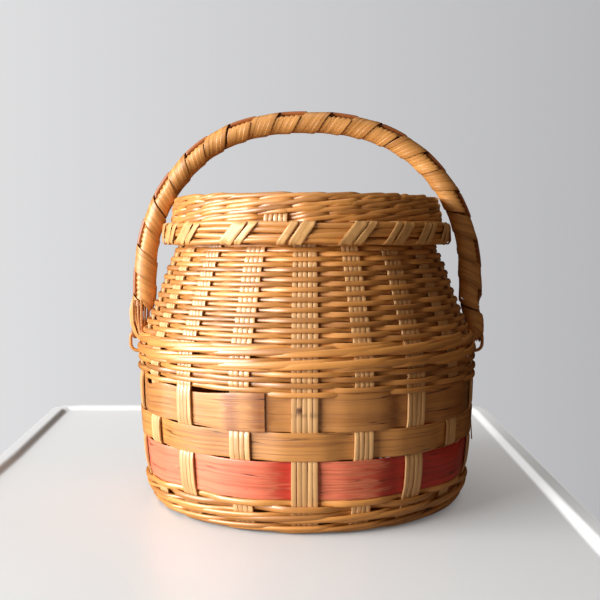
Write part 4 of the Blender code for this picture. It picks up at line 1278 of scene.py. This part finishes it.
class BASKET_OT_handle_wrap(bpy.types.Operator):
    """Narrow splints laid side by side and wound round the handle in slanting bands"""
    bl_idname = "basket.handle_wrap"
    bl_label = "Handle wrap"

    def execute(self, context):
        colours = context.scene.basket_colours
        turns = context.scene.basket_weave.wrap_turns
        points, ahead, outward, even = arch_line(1600)
        half = len(points) // 2
        first = np.argmax(points[:, 2] > PIVOT + WRAP_START)
        last = half + np.argmax(points[half:, 2] < PIVOT + 0.0010)
        foot = points[last] + np.outer(np.linspace(0.0005, 0.0098, 20), [0.0, 0.0, -1.0])
        points = np.concatenate([points[first:last], foot])
        outward = np.concatenate([outward[first:last], np.tile([1.0, 0, 0], (20, 1))])
        ahead = np.concatenate([ahead[first:last], np.tile([0, 0, -1.0], (20, 1))])
        even = np.concatenate([[0], np.cumsum(np.linalg.norm(np.diff(points, axis=0), axis=1))])
        length = even[-1]
        pitch = wrap_pitch(context)
        rng = random_for("wrap")
        strands = Strands()
        strips = 5
        turns = length / pitch
        step = pitch / strips
        slip_seed = 31
        for strip in range(strips):
            edge = (strip - (strips - 1) / 2) / strips
            count = np.linspace(-0.6, turns + 0.6, int((turns + 1.2) * 34))
            slip = wander(np.random.default_rng(slip_seed), count, 3.7, 0.0013)
            squeeze = 0.96 + wander(np.random.default_rng(slip_seed + 1), count, 5.3, 0.06)
            where = (count + edge * squeeze) * pitch + slip
            where = where + WRAP_SLANT * np.cos(math.tau * count + 0.6)
            keep = (where > 0) & (where < length)
            where, count = where[keep], count[keep]
            spot = np.stack([np.interp(where, even, points[:, i]) for i in range(3)], 1)
            away = unit(np.stack([np.interp(where, even, outward[:, i]) for i in range(3)], 1))
            front = unit(np.stack([np.interp(where, even, ahead[:, i]) for i in range(3)], 1))
            turn = math.tau * count + 0.6
            outer, beside = np.cos(turn), np.sin(turn)
            low = smooth((0.212 - spot[:, 2]) / 0.03) * smooth((spot[:, 2] - 0.128) / 0.02)
            foot = np.where(spot[:, 0] > 0, 1 - smooth((spot[:, 2] - 0.128) / 0.050), 0)
            narrow = 1 - 0.23 * foot
            spot[:, 0] -= 0.0020 * foot
            near = away * (outer * narrow)[:, None] + np.array([0, 1.0, 0]) * beside[:, None]
            rise = 0.0083 + 0.0007 * (strip / (strips - 1)) ** 2
            rise = rise + 0.0016 * low * np.maximum(-outer, 0) + wander(rng, count, 3.0, 0.00008)
            bare = np.mod(np.round(turn / math.tau), 2.0)
            rise = rise - 0.0030 * bare * smooth((outer - 0.45) / 0.4)
            close = smooth((length - where) / 0.008)
            rise = rise * (0.45 + 0.55 * np.sqrt(close))
            path = spot + near * rise[:, None]
            tilt = 0.05
            facing = unit(near * math.cos(tilt) - front * math.sin(tilt))
            strands.add(path, facing, step / 2 * 1.07 * (1 + wander(rng, count, 2.5, 0.05)),
                        0.00026, tone=np.clip(rng.uniform(0.35, 0.8) +
                                              wander(rng, count, 2.0, 0.30), 0, 1),
                        start=rng.uniform(0, 9))
        share = np.linspace(0, 1, 24)
        loose = np.stack([np.interp(share, (0, 0.3, 0.6, 0.85, 1),
                                    (-0.1458, -0.1472, -0.1468, -0.1440, -0.1405)),
                          -0.0096 + 0.0010 * share, PIVOT + 0.0270 - 0.0340 * share], 1)
        strands.add(loose, np.tile([-0.2, -0.98, 0.0], (24, 1)),
                    np.interp(share, (0, 0.3, 1), (0.0006, 0.0018, 0.0013)), 0.0004, tone=1.0)
        splint = cane("wrap_splint", colours.wrap, darker(colours.wrap, 0.55), 0.45, 0.4, 0.8,
                      0.35, 0.5)
        weave("handle_wrap_splints", strands, splint, "handle", ("handle_wrap",),
              sides=10, square=0.45, roughen=0.02)
        return {"FINISHED"}


# ---------------------------------------------------------------- stage
def table_white_and_painted_light():
    """White table top that the camera sees with painted light: it emits more towards the back, leaves a
    painted contact shadow under the basket's foot and gives painted highlights on the lip's right and far
    slopes; it throws less light back at the basket than the camera sees.
    """
    made = bpy.data.materials.new("table_white")
    made.use_nodes = True
    tree = made.node_tree
    shader = tree.nodes["Principled BSDF"]
    seen = node(tree, "ShaderNodeLightPath").outputs["Is Camera Ray"]
    tree.links.new(mixed(tree, seen, (0.34, 0.29, 0.23), (0.645, 0.675, 0.695)),
                   shader.inputs["Base Color"])
    place = node(tree, "ShaderNodeSeparateXYZ",
                 [(0, node(tree, "ShaderNodeTexCoord").outputs["Object"])])
    # painted light: the table emits for the camera only, more towards the back
    painted_glow = remap(tree, place.outputs["Y"], -0.10, 0.35, 0.17, 0.37)
    level = node(tree, "ShaderNodeSeparateXYZ",
                 [(0, node(tree, "ShaderNodeNewGeometry").outputs["Normal"])]).outputs["Z"]
    flat = remap(tree, level, 0.93, 0.99)
    painted_glow = arithmetic(tree, "MULTIPLY", painted_glow, flat)
    # painted highlight on the lip's slopes at the right and far edges; the left slopes get no emission and
    # show as a dark groove, painted shade
    side = arithmetic(tree, "MAXIMUM", remap(tree, place.outputs["X"], -0.05, 0.05, 0.0, 0.60),
                      remap(tree, place.outputs["Y"], 0.335, 0.350, 0.0, 0.45))
    painted_glow = arithmetic(tree, "MULTIPLY_ADD", arithmetic(tree, "SUBTRACT", 1.0, flat), side, painted_glow)
    # painted contact shadow: no emission under and just round the basket's foot
    under = vector_of(tree, "MULTIPLY", node(tree, "ShaderNodeTexCoord").outputs["Object"],
                      (1.0, 1.0, 0.0))
    under = node(tree, "ShaderNodeVectorMath", [(0, under)], operation="LENGTH").outputs["Value"]
    painted_glow = arithmetic(tree, "MULTIPLY", painted_glow, remap(tree, under, 0.116, 0.132))
    shader.inputs["Emission Color"].default_value = (1.0, 1.0, 1.01, 1)
    tree.links.new(arithmetic(tree, "MULTIPLY", seen, painted_glow), shader.inputs["Emission Strength"])
    shader.inputs["Roughness"].default_value = 0.35
    return made


def add_light(name, place, aim, size, power, colour=(1, 1, 1)):
    data = bpy.data.lights.new(name, "AREA")
    data.shape = "RECTANGLE"
    data.size, data.size_y = size
    data.energy = power
    data.color = colour
    made = bpy.data.objects.new(name, data)
    bpy.context.scene.collection.objects.link(made)
    made.location = place
    made.rotation_euler = (Vector(aim) - Vector(place)).to_track_quat("-Z", "Y").to_euler()
    return made


class BASKET_OT_stage(bpy.types.Operator):
    """Pale table and wall that both carry painted light, soft window light from the left, and the camera"""
    bl_idname = "basket.stage"
    bl_label = "Stage"

    def execute(self, context):
        scene = context.scene
        camera = bpy.data.objects.new("camera", bpy.data.cameras.new("camera"))
        scene.collection.objects.link(camera)
        camera.data.sensor_width = 36.0
        camera.data.lens = 54.0
        camera.location = (-0.0055, -0.763, 0.212)
        camera.rotation_euler = (math.radians(90 - 3.8), 0, 0)
        scene.camera = camera

        bm = bmesh.new()
        outline = [(-0.225, -2.0), (0.190, -2.0), (0.2175, -0.105), (0.2250, 0.330),
                   (0.2215, 0.355), (0.204, 0.371), (-0.283, 0.371), (-0.306, 0.364),
                   (-0.3137, 0.346), (-0.298, 0.105)]
        top = bm.faces.new([bm.verts.new((x, y, 0.0038)) for x, y in outline])
        top.normal_update()
        for wide in (0.013, 0.006):
            bmesh.ops.inset_region(bm, faces=[top], thickness=wide, depth=0, use_boundary=True,
                                   use_even_offset=True)
        bmesh.ops.translate(bm, verts=list(top.verts), vec=(0, 0, -0.0040))
        rim = [edge for edge in bm.edges if edge.is_boundary]
        low = bmesh.ops.extrude_edge_only(bm, edges=rim)["geom"]
        low = [v for v in low if isinstance(v, bmesh.types.BMVert)]
        bmesh.ops.translate(bm, verts=low, vec=(0, 0, -0.03))
        bmesh.ops.holes_fill(bm, edges=[edge for edge in bm.edges if edge.is_boundary])
        bmesh.ops.recalc_face_normals(bm, faces=bm.faces)
        mesh = bpy.data.meshes.new("table")
        bm.to_mesh(mesh)
        bm.free()
        table = bpy.data.objects.new("table", mesh)
        scene.collection.objects.link(table)
        mesh.materials.append(table_white_and_painted_light())
        soften = table.modifiers.new("Bevel", "BEVEL")
        soften.width = 0.0026
        soften.segments = 4

        mesh = bpy.data.meshes.new("wall")
        mesh.from_pydata([(-4, 2.2, -2.5), (4, 2.2, -2.5), (4, 2.2, 3.0), (-4, 2.2, 3.0)], [],
                         [(0, 1, 2, 3)])
        wall = bpy.data.objects.new("wall", mesh)
        scene.collection.objects.link(wall)
        wall_emitter = bpy.data.materials.new("wall_paint")
        wall_emitter.use_nodes = True
        tree = wall_emitter.node_tree
        tree.nodes.clear()
        painted_glow = node(tree, "ShaderNodeEmission")
        place = node(tree, "ShaderNodeTexCoord").outputs["Object"]
        split = node(tree, "ShaderNodeSeparateXYZ", [(0, place)])
        # painted light falloff: the wall emits more at the left, towards the window, and less at the right
        across = remap(tree, split.outputs["X"], -1.0, 1.0)
        wall_tone_and_painted_falloff = node(tree, "ShaderNodeValToRGB", [(0, across)])
        wall_tone_and_painted_falloff.color_ramp.elements[0].color = (0.735, 0.735, 0.745, 1)
        wall_tone_and_painted_falloff.color_ramp.elements[1].color = (0.475, 0.475, 0.490, 1)
        tree.links.new(wall_tone_and_painted_falloff.outputs[0], painted_glow.inputs["Color"])
        sink = node(tree, "ShaderNodeOutputMaterial", [("Surface", painted_glow.outputs[0])])
        mesh.materials.append(wall_emitter)
        wall.visible_diffuse = False
        wall.visible_glossy = False
        wall.visible_shadow = False

        world = bpy.data.worlds.new("room")
        scene.world = world
        world.use_nodes = True
        tree = world.node_tree
        seen = node(tree, "ShaderNodeLightPath").outputs["Is Camera Ray"]
        tree.links.new(mixed(tree, seen, (1.0, 0.74, 0.52), (0.60, 0.60, 0.61)),
                       tree.nodes["Background"].inputs["Color"])
        tree.links.new(remap(tree, seen, 0.0, 1.0, 0.15, 1.0),
                       tree.nodes["Background"].inputs["Strength"])
        world.cycles_visibility.glossy = False
        add_light("window", (-1.52, -0.78, 0.52), (0, 0, 0.14), (1.5, 1.1), 73.0, (1.0, 0.99, 0.97))
        add_light("ceiling", (-0.3, -0.2, 2.0), (0, 0, 0.1), (1.6, 1.6), 8.0)
        scene.view_settings.view_transform = "Standard"
        return {"FINISHED"}


PIECES = (BASKET_OT_stage, BASKET_OT_base, BASKET_OT_foot, BASKET_OT_stakes, BASKET_OT_splints,
          BASKET_OT_rows, BASKET_OT_rim, BASKET_OT_rings, BASKET_OT_lid_wall,
          BASKET_OT_lid_crown, BASKET_OT_lid_border, BASKET_OT_handle_core,
          BASKET_OT_handle_wrap)


class BASKET_PT_sidebar(bpy.types.Panel):
    """Sizes, colours and pieces of the basket"""
    bl_idname = "BASKET_PT_sidebar"
    bl_label = "Woven basket"
    bl_space_type = "VIEW_3D"
    bl_region_type = "UI"
    bl_category = "Basket"

    def draw(self, context):
        for group in (context.scene.basket_weave, context.scene.basket_colours):
            column = self.layout.column(align=True)
            for label in group.bl_rna.properties.keys():
                if label not in ("rna_type", "name"):
                    column.prop(group, label)
        column = self.layout.column(align=True)
        for piece in PIECES:
            column.operator(piece.bl_idname)


CLASSES = (BasketWeave, BasketColours) + PIECES + (BASKET_PT_sidebar,)


def register():
    for item in CLASSES:
        bpy.utils.register_class(item)
    bpy.types.Scene.basket_weave = PointerProperty(type=BasketWeave)
    bpy.types.Scene.basket_colours = PointerProperty(type=BasketColours)


def unregister():
    del bpy.types.Scene.basket_colours
    del bpy.types.Scene.basket_weave
    for item in reversed(CLASSES):
        bpy.utils.unregister_class(item)


def main():
    register()
    for piece in PIECES:
        group, label = piece.bl_idname.split(".")
        getattr(getattr(bpy.ops, group), label)()


if __name__ == "__main__":
    main()
